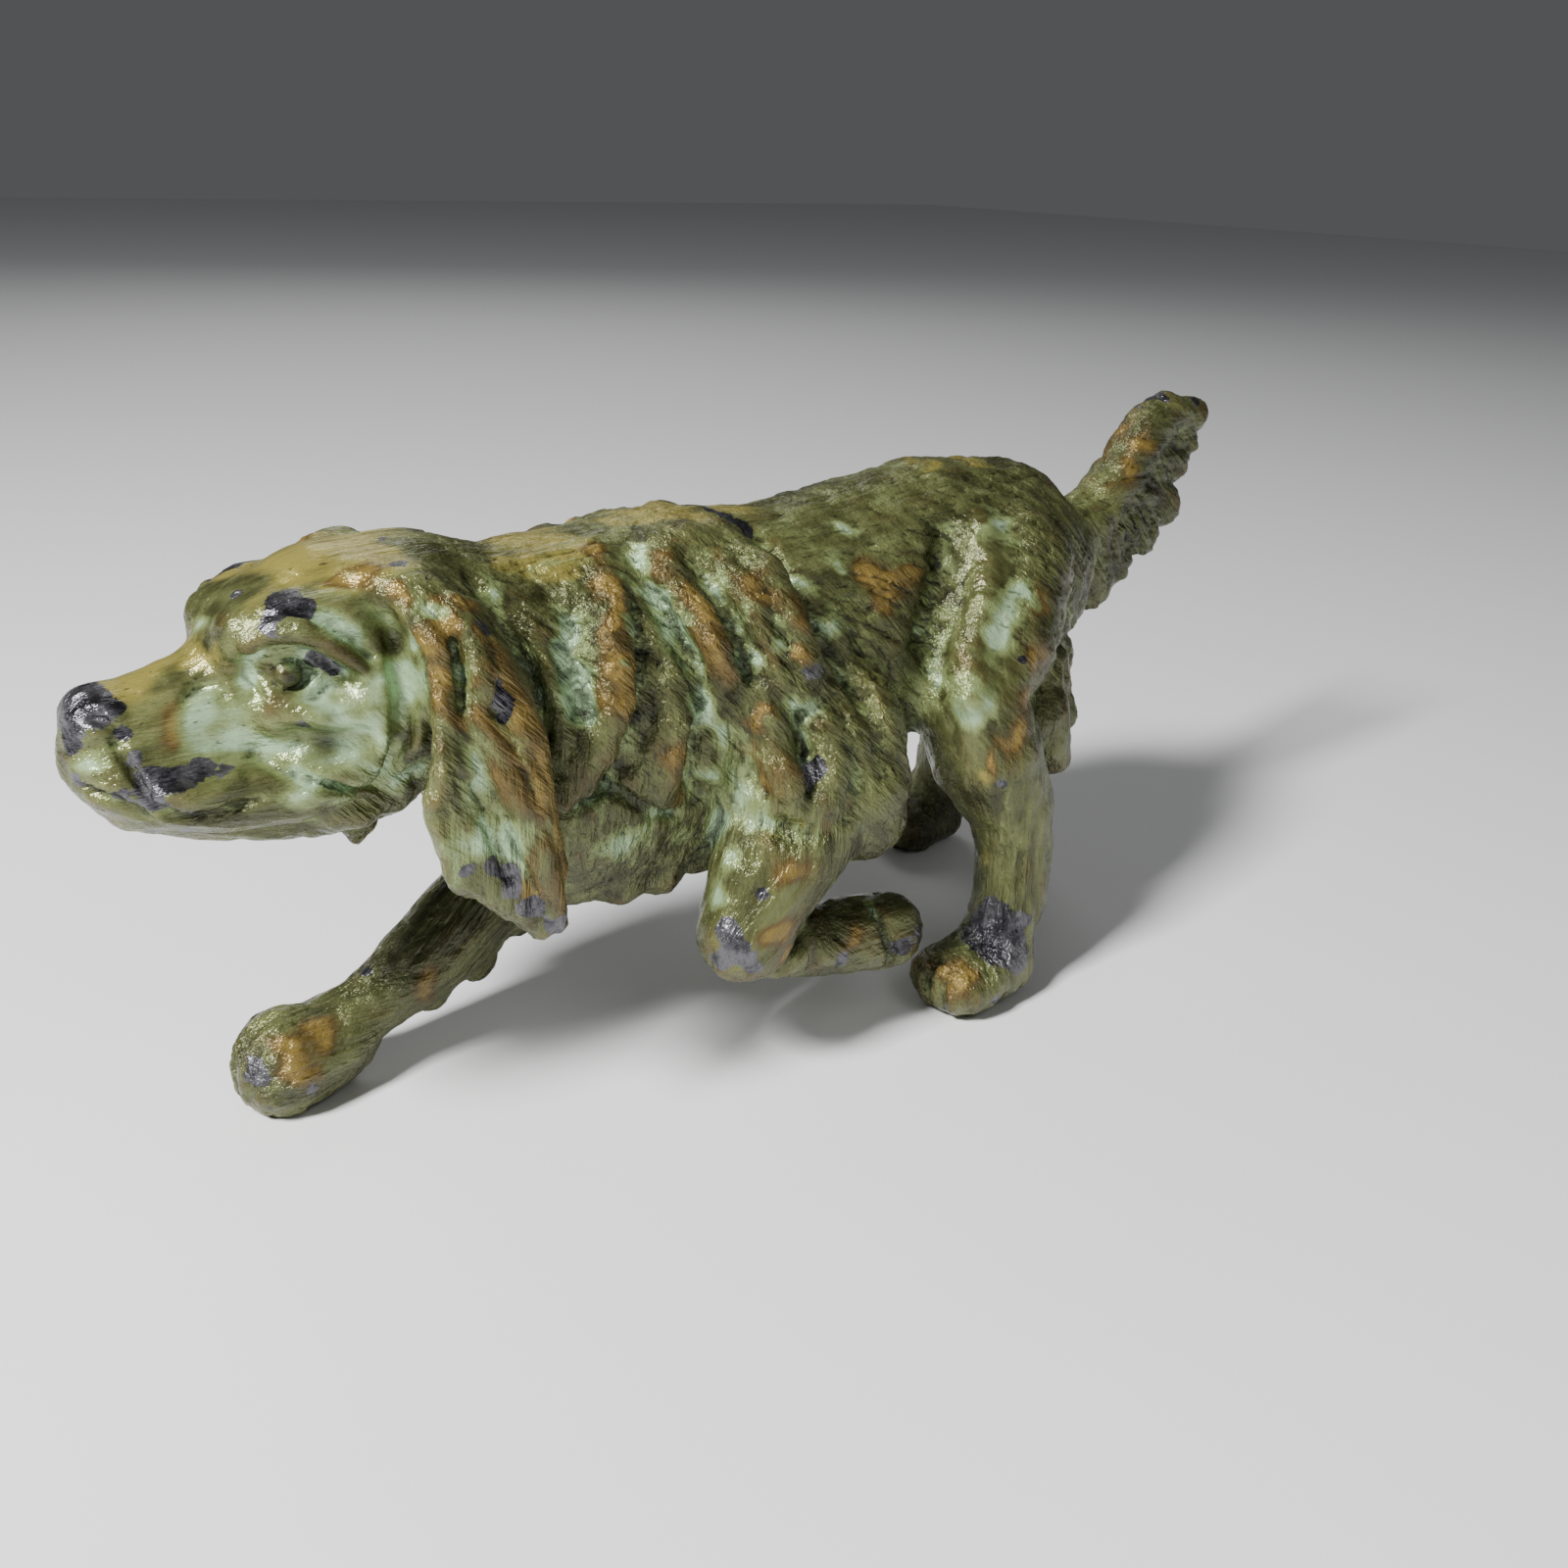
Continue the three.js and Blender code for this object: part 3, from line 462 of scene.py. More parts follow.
# How much of each pattern goes into the amount of each paint. The plain ones don't fade in smooth parts.
GROUND_PARTS = {"blotch": 1, "streak": 0.4, "plain strand": 0.6, "plain groove": 0.4}
GOLD_PARTS = {"streak": 0.3, "plain strand": 0.6, "blotch": 0.6}
OCHRE_PARTS = {"hollow": -0.8, "streak": -0.4, "strand": 0.4, "groove": 0.5, "blotch": 0.6}
MINT_PARTS = {"hollow": 1.5, "streak": 0.6, "strand": 0.8, "groove": -0.7, "cloud": 0.5}
LEAD_PARTS = {"grain": 0.4, "cloud": 1.0}
PLACE_SHARE = {"gold": 1, "ochre": 1.15, "mint": 1.1, "lead": 1}

# The paints over the ground, in order: patches, parts, and layers (amount at none, at full, colour).
PAINTS = [
    ("gold", GOLD_PARTS, [(0.1, 0.9, GOLD_PAINT)]),
    ("ochre", OCHRE_PARTS, [(0.1, 0.6, BROWN), (0.45, 1.0, OCHRE_PAINT)]),
    ("mint", MINT_PARTS, [(0.05, 0.5, LEAF), (0.45, 1.0, MINT_PAINT)]),
]

# Where one colour gives way to the next, as the amount at none and at full.
GROUND_RANGE = (-0.35, 0.3)
# Painted shade in narrow creases and in deep folds, and the dark flecks.
SHADED_CREASE = (0.6, 1.0)
DIRTY_FLECK = (0.64, 0.72)
SHADED_FOLD = (0.8, 1.2)
RUBBED_THROUGH = (0.44, 0.52)
LEAD_CLOUDS = (0.4, 0.62)

# How strongly the painted shade of the shade places darkens, how strongly all painted shade and dark
# flecks together darken, and how strongly hair marks the paint. Hair's strength is less in smooth parts.
SHADE_STRENGTH = 1.2
SHADE_AND_FLECK_STRENGTH = 0.72
FURRY = 1.2

# Shine of the paint, what bare metal and clouds add to it, and the roughness of the combed noise.
PAINT_METALLIC, METAL_GAIN = 0.4, 0.5
PAINT_ROUGHNESS, ROUGH_METAL, ROUGH_CLOUDS = 0.27, 0.02, 0.3
COMBED_ROUGHNESS = 0.6

# Relief in the paint: pattern, strength and height in metres.
BUMPS = [("groove", 1, 0.0016), ("strand", 1, 0.0009), ("cloud", 0.35, 0.0004), ("grain", 0.15, 0.0002)]

# Floor and studio light, with lamps as (name, place, size, power). Metres and watts.
FLOOR_REACH = 3
FLOOR_GREY = (0.78, 0.78, 0.78, 1)
FLOOR_ROUGHNESS = 0.7
STUDIO_COLOUR = (0.75, 0.77, 0.8, 1)
STUDIO_STRENGTH = 0.12
LAMP_TARGET = (0, 0, 0.05)
LAMPS = [
    ("key", (-0.6, -0.1, 0.62), 0.16, 18),
    ("fill", (0, -0.8, 0.8), 0.5, 1.3),
    ("rim", (0.4, 0.9, 0.8), 0.5, 2.2),
]

# The photo's camera, fitted to the table and the paws: its place in drawn units, and angles.
PHOTO_SIZE_PX = 1600
FOCAL_LENGTH_PX = 1602
PRINCIPAL_HEIGHT_PX = 534
SENSOR_WIDTH = 36
CAMERA_PLACE = (-208.1, -193.7, 144)
HEADING, PITCH, ROLL = (math.radians(a) for a in (50, 13.5, 2.14))

# Places (x, distance from the middle, z, reach), the same on both sides of the dog. The patches of paint
# were marked on the photo, carried onto the surface and rounded.

# Where the cast is smooth: face, crown, thigh and the raised forearm.
SMOOTH = [
    (-22, 24, 62, 8), (-25, 25, 52, 8), (-18, 21, 74, 7), (-13, 16, 81, 5), (-14, 26, 36, 8),
    (-68, 24, 30, 8), (-150, 0, 68, 14), (-135, 0, 76, 17), (-122, 8, 72, 12), (-128, 0, 90, 12),
]

# Where the hair is cut deepest.
DEEP = [
    (-30, 18, 70, 16), (-8, 14, 80, 12), (8, 12, 62, 12), (4, 18, 50, 9), (-45, 18, 62, 10),
    (48, 3, 78, 10), (40, 3, 70, 10), (58, 3, 86, 7),
]

# Where shade is painted in at its darkest, and where it is painted dimmer.
SHADE = [
    # Painted shade at the eye, the nostril, the mouth and in the hollow under the cheekbone.
    (-134.7, 11, 76.8, 1.5), (-155.5, 4, 73.6, 1), (-131, 12, 67.3, 2.2), (-152, 6, 62.5, 1.2),
    (-146, 8, 60.5, 1.4),
    # Painted shade in the deep folds behind the collar and the shoulder, and in the crook of the leg.
    (-84, 17, 72, 1.8), (-86, 18, 64, 1.8), (-90, 18, 56, 1.8), (-56, 19, 77, 1.8), (-53, 22, 70, 1.8),
    (-100, 19, 62, 2), (-100, 19, 52, 2), (-56, 22, 28, 3.5),
]
DIM = [
    # Painted shade on the inner faces of the far legs, under the belly, and in the long hair of the tail.
    (-94, 13, 27, 9), (-103, 13, 20, 8), (-110, 12, 14, 6), (12, 18, 30, 9), (12, 18, 18, 9),
    (10, 18, 6, 7), (-60, 0, 32, 10), (-35, 0, 40, 12), (43, 0, 68, 7), (49, 0, 76, 5), (55, 0, 83, 5),
    (-100, 6, 48, 7),
    # Painted shade between the flank and the thigh.
    (-24, 16, 80, 5), (-30, 18, 72, 5), (-34, 19, 64, 5),
]

# Where the net is smoothed before hair is cut: crown, neck, withers, and the locks behind the foreleg.
PLAIN = [
    (-124, 0, 88, 9), (-110, 0, 87, 8), (-96, 0, 86, 8), (-82, 0, 87, 8), (-68, 0, 88, 8),
    (-56, 0, 87, 7), (-118, 12, 86, 4), (-124, 9, 86, 4), (-96, 10, 83, 6), (-84, 10, 84, 6),
    (-73, 10, 85, 6), (-62, 10, 85, 6), (-86, 15, 16, 6), (-93.5, 15, 11, 6), (-102.5, 15, 9, 5),
]

# Patches of paint, and at the end the places that are rubbed through to the metal.
MINT = [
    (-146.5, 7, 72, 2.5), (-116, 20, 76, 1.8), (-13, 17, 82, 3), (-15, 24, 71, 3.2), (-20, 25, 67, 3.4),
    (-27, 27, 57, 3.4), (-116, 22, 62, 2.6), (-115.5, 22, 54, 3), (-133, 12, 80, 3), (-128, 13, 83, 3),
    (-131, 12, 72, 2.5), (-130, 10, 64, 4), (-98, 15, 76, 3), (-96, 17, 69, 3), (-66, 22, 46, 3),
    (-142, 0, 82, 1.6), (-140, 7, 77, 2.1), (-138, 9, 80, 1.8), (-131, 11, 74, 2.4), (-128, 12, 79, 2.3),
    (-126, 15, 70, 3.4), (-123, 14, 74, 3.7), (-129, 14, 70, 2.9), (-140, 8, 70, 3.7), (-145, 7, 70, 2.6),
    (-126, 13, 61, 3.8), (-120, 11, 60, 3.3), (-133, 13, 63, 2.9), (-137, 10, 67, 2.4),
    (-120, 15, 82, 2.3), (-120, 15, 76, 2.1), (-121, 16, 69, 2.1), (-122, 15, 66, 2.4),
    (-116, 20, 75, 1.5), (-158, 4, 69, 1.8), (-110, 23, 53, 3.3), (-117, 23, 55, 2.7),
    (-118, 21, 51, 2.2), (-108, 13, 82, 2.2), (-106, 14, 77, 1.9), (-120, 22, 55, 1.9),
    (-106, 10, 82, 2.6), (-104, 13, 76, 2.3), (-95, 14, 77, 2.2), (-95, 16, 71, 2.8), (-95, 18, 67, 2.1),
    (-86, 11, 83, 1.5), (-88, 16, 78, 1.5), (-89, 18, 73, 1.5), (-81, 10, 84, 1.9), (-81, 13, 80, 2.4),
    (-80, 17, 75, 3), (-79, 19, 70, 2.4), (-71, 16, 82, 1.9), (-67, 20, 77, 2.1), (-65, 22, 71, 2.1),
    (-76, 19, 63, 2.5), (-73, 20, 58, 2.5), (-73, 18, 52, 2.3), (-60, 24, 61, 2), (-54, 14, 77, 2),
    (-52, 18, 72, 2.2), (-46, 14, 79, 1.8), (-41, 10, 83, 1.5), (-71, 18, 42, 2), (-68, 23, 44, 1.7),
    (-72, 22, 39, 2), (-92, 17, 52, 2.7), (-88, 15, 43, 3.4), (-83, 16, 45, 2.8), (-96, 16, 51, 1.9),
    (-13, 23, 73, 2.5), (-18, 25, 69, 2.6), (-21, 26, 66, 2.1), (-27, 27, 59, 3.5), (-28, 27, 55, 3.1),
    (-44, 23, 24, 2.2), (-41, 25, 22, 2.2), (-74, 21, 34, 2),
]
OCHRE = [
    (-118.5, 18, 81, 2.2), (-117.5, 20, 74, 2.2), (-111, 21, 76, 3), (-109, 22, 69, 4),
    (-106.5, 23, 61, 4.5), (-104.5, 23, 52, 4), (-103, 23, 44, 3), (-76, 18, 78, 3), (-74, 20, 72, 3),
    (-62, 20, 76, 3), (-90, 19, 72, 2.5), (-124, 9, 88, 2.2), (-121, 14, 86, 1.8), (-117, 18, 83, 1.8),
    (-118, 18, 79, 1.8), (-113, 16, 84, 1.9), (-112, 19, 80, 1.8), (-115, 20, 77, 1.8),
    (-108, 23, 51, 2.2), (-106, 24, 46, 1.9), (-113, 22, 70, 1.8), (-109, 23, 68, 1.8),
    (-117, 21, 69, 1.8), (-90, 15, 79, 2), (-149, 6, 71, 2.4), (-108, 24, 60, 1.8), (-126, 8, 88, 1.8),
    (-89, 8, 86, 1.8), (-89, 13, 82, 1.8), (-90, 17, 77, 1.8), (-90, 19, 71, 1.8), (-91, 20, 67, 1.8),
    (-91, 19, 60, 1.8), (-79, 12, 84, 1.8), (-78, 16, 81, 1.9), (-76, 19, 77, 2), (-75, 21, 73, 2),
    (-72, 21, 69, 1.9), (-71, 13, 85, 1.8), (-66, 18, 82, 1.8), (-65, 20, 79, 1.8), (-62, 24, 70, 1.8),
    (-81, 21, 57, 1.8), (-79, 18, 51, 1.8), (-67, 23, 61, 1.9), (-66, 22, 56, 2.2), (-65, 23, 52, 2),
    (-54, 22, 65, 1.9), (-40, 15, 78, 2.4), (-37, 17, 75, 2.2), (-32, 16, 76, 2.5), (-55, 29, 46, 1.8),
    (-66, 28, 37, 1.9), (-59, 28, 43, 1.8), (-37, 17, 74, 2.4), (-40, 15, 78, 1.9), (-11, 25, 71, 2.2),
    (-13, 28, 62, 2.5), (-17, 29, 56, 2.4), (-19, 31, 50, 2.2), (-23, 30, 46, 1.8), (44, 3, 90, 2.2),
    (40, 3, 85, 2.2), (-28, 30, 9, 2.3), (-31, 27, 8, 1.8), (-128, 8, 9, 2.8), (-129, 9, 11, 2.2),
    (-124, 10, 13, 2.2), (-106, 9, 15, 2.2), (-70, 29, 29, 2), (-55, 23, 25, 1.8), (-66, 28, 24, 1.8),
    (-51, 27, 21, 1.8),
]
GOLD = [
    (-129, 0, 90, 7), (-119, 0, 90, 6), (-150, 0, 78, 5), (-143, 0, 79, 3.5), (-95, 0, 87, 7),
    (-71, 0, 88, 7), (-125, 9, 86, 3), (-56, 0, 86, 5), (-124, 8, 89, 3.7), (-121, 2, 90, 2.8),
    (-134, 6, 87, 3), (-149, 1, 77, 2.1), (-152, 1, 76, 1.9), (-131, 3, 88, 2.4), (-96, 4, 86, 3.1),
    (-92, 8, 85, 2.8), (-118, 6, 89, 1.9), (-143, 3, 79, 1.6), (-97, 1, 87, 3), (-94, 4, 86, 2.4),
    (-75, 2, 88, 3.1), (-66, 6, 87, 3), (-68, 3, 88, 2.6), (-102, 5, 86, 1.8), (-81, 1, 88, 2.5),
    (-68, 22, 47, 2), (-66, 25, 43, 1.7), (-3, 2, 89, 3.1), (-16, 3, 90, 2.6), (-25, 28, 43, 2.1),
    (-18, 25, 26, 1.9),
]
LEAD = [
    (-157, 0, 75.5, 2.5), (-155.5, 3, 75.5, 2.2), (-158.5, 2, 72, 2), (-152, 8, 63.5, 1.6),
    (-147, 9, 62.5, 1.6), (-143.5, 9, 63.5, 1.5), (-135, 10, 84, 1.6), (-110, 23, 46, 2),
    (-107, 23, 42, 2), (-104, 22, 39, 2.2), (-102, 21, 36, 2), (-113, 23, 49, 1.6), (-111.5, 21, 75, 1.7),
    (-110.5, 22, 72, 1.6), (-61, 4, 87, 2), (-59, 7, 86, 2), (-57, 12, 83, 1.8), (-60, 24, 67, 2),
    (-59, 26, 52, 2.2), (-61, 26, 50, 1.8), (-131, 11, 79, 1.6), (-134, 9, 86, 2.6), (-136, 10, 84, 1.4),
    (-132, 11, 85, 1.5), (-131, 11, 79, 1.3), (-129, 11, 77, 1.4), (-134, 12, 71, 1.3),
    (-138, 2, 85, 1.3), (-159, 0, 74, 1.8), (-157, 3, 74, 2), (-154, 4, 75, 1.5), (-159, 3, 72, 1.3),
    (-154, 5, 72, 1.3), (-154, 7, 69, 1.3), (-152, 8, 66, 1.7), (-149, 9, 65, 2), (-146, 9, 66, 1.6),
    (-151, 9, 63, 1.3), (-157, 6, 65, 1.3), (-155, 7, 64, 1.3), (-159, 3, 66, 1.3), (-117, 2, 90, 1.3),
    (-118, 14, 87, 1.3), (-120, 10, 89, 1.3), (-119, 18, 75, 1.3), (-120, 20, 62, 1.3),
    (-118, 19, 71, 1.3), (-112, 18, 81, 1.3), (-113, 21, 76, 1.5), (-112, 22, 73, 1.4),
    (-111, 23, 70, 1.3), (-110, 23, 48, 1.7), (-113, 23, 50, 1.3), (-117, 23, 50, 1.3),
    (-107, 23, 43, 1.3), (-103, 22, 39, 1.4), (-102, 7, 84, 1.3), (-151, 4, 57, 1.3), (-147, 6, 57, 1.3),
    (-62, 1, 87, 1.6), (-61, 3, 87, 1.3), (-60, 6, 85, 1.3), (-65, 16, 84, 1.3), (-61, 24, 68, 1.4),
    (-59, 24, 66, 1.3), (-59, 26, 52, 1.4), (-61, 26, 51, 1.3), (-56, 26, 53, 1.3), (-65, 24, 50, 1.3),
    (-20, 26, 13, 3.8), (-18, 29, 16, 3.2), (-20, 30, 11, 3.5), (-16, 32, 9, 2.9), (-21, 29, 11, 1.7),
    (-14, 31, 15, 1.6), (-16, 31, 12, 1.6), (-22, 31, 42, 1.3), (-16, 28, 63, 1.3), (52, 1, 97, 2),
    (48, 1, 95, 1.3), (61, 2, 96, 1.7), (-29, 29, 2, 1.3), (-23, 33, 5, 1.4), (-74, 27, 27, 2.4),
    (-75, 25, 30, 1.9), (-70, 27, 35, 1.3), (-75, 24, 24, 1.9), (-72, 28, 24, 1.7), (-53, 27, 19, 1.6),
    (-40, 28, 17, 2.3), (-36, 27, 18, 1.7), (-134, 10, 9, 2.2), (-132, 10, 4, 1.6), (-134, 13, 10, 1.4),
    (-127, 8, 5, 1.4), (-114, 15, 17, 1.3),
]

# The field


def chain_distance(points, balls, normal):
    """Distance to a chain of balls, which are flattened along normal where they have a fifth value."""
    balls = [tuple(b) + (b[3],) * (5 - len(b)) for b in balls]
    best = np.full(len(points), np.inf)
    for a, b in zip(balls, balls[1:] or balls):
        a, b = np.array(a, float), np.array(b, float)
        ab, ap = b[:3] - a[:3], points - a[:3]
        along = ab @ ab
        t = np.clip(ap @ ab / along, 0, 1) if along > 0 else np.zeros(len(points))
        radius, thick = a[3] + (b[3] - a[3]) * t, a[4] + (b[4] - a[4]) * t
        d = ap - t[:, None] * ab
        flat = (d @ normal) ** 2
        side = np.maximum((d**2).sum(1) - flat, 0)
        k0 = np.sqrt(side / radius**2 + flat / thick**2)
        k1 = np.sqrt(side / radius**4 + flat / thick**4)
        best = np.minimum(best, np.where(k1 > 1e-9, k0 * (k0 - 1) / np.maximum(k1, 1e-9), -thick))
    return best


def melt(a, b, k):
    """The smaller of two fields, rounded where they are within k of each other."""
    return np.minimum(a, b) - np.maximum(k - np.abs(a - b), 0) ** 2 / (4 * k)


def prepare(form):
    """One entry for each side of the dog: balls, normal, and the box beyond which it has no effect."""
    normal = np.array(form.get("normal", ACROSS), float)
    normal /= np.linalg.norm(normal)
    made = []
    for side in (1, -1) if form.get("mirror") else (1,):
        balls = [(b[0], side * b[1], *b[2:]) for b in form["points"]]
        centres = np.array([b[:3] for b in balls], float)
        radii = np.array([[b[3]] for b in balls], float)
        made.append(
            {
                "balls": balls,
                "normal": normal * (1, side, 1),
                "blend": form["blend"],
                "sink": form.get("sink", False),
                "low": (centres - radii).min(0) - REACH,
                "high": (centres + radii).max(0) + REACH,
            }
        )
    return made


def field_of(forms, points):
    """Signed distance to the figure: each form is melted in, or carved out where it sinks."""
    value = np.full(len(points), FAR)
    for f in forms:
        close = ((points > f["low"]) & (points < f["high"])).all(1)
        if close.any():
            d = chain_distance(points[close], f["balls"], f["normal"])
            now = value[close]
            value[close] = -melt(-now, d, f["blend"]) if f["sink"] else melt(now, d, f["blend"])
    return value


def flank_at(forms, side, x, z):
    """The y of the outermost surface on one side of the dog at x and z."""
    ys = side * np.arange(FLANK_OUTSIDE, FLANK_INSIDE, -FLANK_STEP)
    value = field_of(forms, np.stack([np.full_like(ys, x), ys, np.full_like(ys, z)], 1))
    inside = np.flatnonzero(value < 0)
    return ys[inside[0]] if len(inside) else 0.0


def drawn(forms, strokes):
    """Strokes of (x, z, radius, lift) laid on the left flank or on both. The right ear sways forward."""
    made = []
    for stroke in strokes:
        for side in (-1, 1) if stroke.get("mirror") else (-1,):
            balls = []
            for x, z, radius, lift in stroke["points"]:
                if side == 1:
                    x -= stroke.get("sway", 0) * max(0, SWAY_BELOW - z)
                balls.append((x, flank_at(forms, side, x, z) + side * lift, z, radius))
            made += prepare({"points": balls, "blend": stroke["blend"], "sink": stroke.get("sink", False)})
    return made


def toe_grooves():
    """Grooves between the toes, each an arc over the front of a standing paw."""
    made = []
    for x, y, z, radius in PAWS:
        for share in TOE_GROOVES:
            arc = [
                (x - radius * math.cos(a), y + radius * share, z + radius * math.sin(a), TOE_GROOVE_RADIUS)
                for a in TOE_GROOVE_ANGLES
            ]
            made += prepare({"points": arc, "blend": TOE_GROOVE_BLEND, "sink": True})
    return made


# The net over the field's zero surface


def grid_lines(low, high, step_at):
    """Places of the grid's lines from low to past high, each a step beyond the last."""
    lines = [low]
    while lines[-1] < high:
        lines.append(lines[-1] + step_at(lines[-1]))
    return np.array(lines)


def sample(forms, lines):
    """The field at each grid point near the surface, and a signed far value elsewhere."""
    shape = [len(line) for line in lines]
    coarse = [line[BLOCK // 2 :: BLOCK] for line in lines]
    counts = [-(-n // BLOCK) for n in shape]
    coarse = [np.append(c, line[-1])[:m] for c, line, m in zip(coarse, lines, counts)]
    centres = np.stack(np.meshgrid(*coarse, indexing="ij"), -1).reshape(-1, 3)
    rough = field_of(forms, centres).reshape(counts)
    grid = rough.repeat(BLOCK, 0).repeat(BLOCK, 1).repeat(BLOCK, 2)[: shape[0], : shape[1], : shape[2]]
    close = np.abs(grid) < BLOCK_REACH
    grid = np.where(grid < 0, -FAR, FAR).astype(float)
    index = np.argwhere(close)
    points = np.stack([line[index[:, c]] for c, line in enumerate(lines)], 1)
    grid[close] = field_of(forms, points)
    return grid


def lay_net(grid, lines):
    """Vertices at the mean of each cell's edge crossings, and a quad round each crossed grid edge."""
    shape = grid.shape
    inside = grid < 0
    cells, places, quads = [], [], []
    for axis in range(3):
        b, c = (axis + 1) % 3, (axis + 2) % 3
        first = [slice(1, -1)] * 3
        second = [slice(1, -1)] * 3
        first[axis], second[axis] = slice(0, -1), slice(1, None)
        index = np.argwhere(inside[tuple(first)] != inside[tuple(second)])
        index += [0 if k == axis else 1 for k in range(3)]
        ahead = index.copy()
        ahead[:, axis] += 1
        v0, v1 = grid[tuple(index.T)], grid[tuple(ahead.T)]
        crossing = np.stack([line[index[:, k]] for k, line in enumerate(lines)], 1)
        crossing[:, axis] += (lines[axis][ahead[:, axis]] - crossing[:, axis]) * v0 / (v0 - v1)
        ring = []
        for db, dc in ((0, 0), (1, 0), (1, 1), (0, 1)):
            cell = index.copy()
            cell[:, b] -= db
            cell[:, c] -= dc
            ring.append((cell[:, 0] * shape[1] + cell[:, 1]) * shape[2] + cell[:, 2])
        ring = np.stack(ring, 1)
        outward = v0 < 0
        quads.append(np.where(outward[:, None], ring, ring[:, ::-1]))
        cells.append(ring.reshape(-1))
        places.append(crossing.repeat(4, 0))
    cells, places, quads = map(np.concatenate, (cells, places, quads))
    used, which = np.unique(cells, return_inverse=True)
    totals = np.stack([np.bincount(which, places[:, k]) for k in range(3)], 1)
    return totals / np.bincount(which)[:, None], np.searchsorted(used, quads)


def at_points(grid, lines, points):
    """The grid's value at each point, by trilinear interpolation."""
    low, part = [], []
    for k, line in enumerate(lines):
        i = np.clip(np.searchsorted(line, points[:, k]) - 1, 0, len(line) - 2)
        low.append(i)
        part.append((points[:, k] - line[i]) / (line[i + 1] - line[i]))
    value = 0.0
    for corner in range(8):
        bits = [(corner >> k) & 1 for k in range(3)]
        weight = np.prod([p if bit else 1 - p for p, bit in zip(part, bits)], axis=0)
        value = value + weight * grid[tuple(i + bit for i, bit in zip(low, bits))]
    return value


class Skin:
    """A quad mesh with the sums over neighbours that smoothing needs."""

    def __init__(self, vertices, quads):
        self.at, self.quads = vertices, quads
        ends = np.concatenate([quads[:, [i, (i + 1) % 4]] for i in range(4)])
        ends = np.unique(np.sort(ends, 1), axis=0)
        self.a, self.b = ends.T
        self.degree = np.bincount(ends.reshape(-1), minlength=len(vertices)).astype(float)

    def mean(self, value):
        """Mean of the neighbours' values at each vertex."""
        if value.ndim == 2:
            return np.stack([self.mean(v) for v in value.T], 1)
        n = len(self.degree)
        sums = np.bincount(self.b, value[self.a], n) + np.bincount(self.a, value[self.b], n)
        return sums / self.degree

    def smooth(self, value, rounds, ease=0.5):
        for _ in range(rounds):
            value = value + (self.mean(value) - value) * ease
        return value

    def normals(self):
        p = self.at[self.quads]
        n = np.cross(p[:, 2] - p[:, 0], p[:, 3] - p[:, 1])
        total = np.zeros_like(self.at)
        for k in range(3):
            total[:, k] = np.bincount(self.quads.reshape(-1), n[:, k].repeat(4), len(self.at))
        return total / np.maximum(np.linalg.norm(total, axis=1, keepdims=True), 1e-12)

    def hollows(self, rounds):
        """How far each vertex lies below the smoothed skin."""
        return ((self.smooth(self.at, rounds) - self.at) * self.normals()).sum(1)

    def lift(self, height):
        self.at = self.at + height[:, None] * self.normals()

    def stand(self):
        """Puts what lies below the floor on it."""
        self.at[:, 2] = np.maximum(self.at[:, 2], 0)


def settle(skin, grid, lines, rounds=2, pulls=2, longest=0.5):
    """Evens the net out, and pulls its vertices back to the zero surface."""
    for _ in range(rounds):
        skin.at = skin.smooth(skin.at, 1)
        for _ in range(pulls):
            skin.lift(-np.clip(at_points(grid, lines, skin.at), -longest, longest))


# Hair


def combing_at(points):
    """Unit direction in which the hair lies at each point, blended from the combings round it."""
    total = np.zeros_like(points)
    for x, y, z, dx, dy, dz, reach in COMBING:
        for side in (-1, 1):
            away = points - (x, side * abs(y), z)
            weight = np.exp(-(away**2).sum(1) / (2 * reach**2)) + 1e-9
            total += weight[:, None] * np.array((dx, side * dy, dz), float) / np.linalg.norm((dx, dy, dz))
    return total / np.maximum(np.linalg.norm(total, axis=1, keepdims=True), 1e-9)


def hair_lines(points, steps=6, length=0.9):
    """Places along the line of hair through each point, before it and behind it."""
    places = [points]
    for stride in (length, -length):
        at = points
        for _ in range(steps):
            at = at + stride * combing_at(at)
            places.append(at)
    return places


def lattice_noise(table, points):
    """Smooth random value at each point, between the values of a table of random numbers."""
    size = len(table)
    whole = np.floor(points).astype(int)
    part = points - whole
    part = part * part * (3 - 2 * part)
    value = 0.0
    for corner in range(8):
        bit = np.array([corner & 1, corner >> 1 & 1, corner >> 2 & 1])
        weight = np.where(bit, part, 1 - part).prod(1)
        value = value + weight * table[tuple(((whole + bit) % size).T)]
    return value


def streaks(rng, places, width):
    """Random value that changes in a width across the hair and slowly along it, with a spread of one."""
    table = rng.normal(size=(TABLE_SIZE,) * 3)
    value = sum(lattice_noise(table, p / width) for p in places)
    return value / value.std()


def near(points, places):
    """Weight from 0 to 1 at each point that lies near any of the places."""
    folded = np.abs(points * (0, 1, 0)) + points * (1, 0, 1)
    left = np.ones(len(points))
    for x, y, z, reach in places:
        away = ((folded - (x, y, z)) ** 2).sum(1) / reach**2
        left = left * (1 - np.exp(-away))
    return 1 - left


def ridged(value, limit, sharpness=1):
    """Grooves where the value crosses zero, with rounded ridges between them, about a mean of zero."""
    return np.minimum(np.abs(value), limit) ** sharpness - MEAN_HEIGHT


# Building the figure


def place(units):
    """Drawn units to metres in the frame."""
    share = (units - DRAWN_LOW) / np.subtract(DRAWN_HIGH, DRAWN_LOW)
    return LOW_CORNER + share * (HIGH_CORNER - LOW_CORNER)


main_forms = [f for form in FORMS for f in prepare(form)]
all_forms = main_forms + drawn(main_forms, FOLDS)
all_forms += drawn(all_forms, FUR_FOLDS + FACE) + toe_grooves()

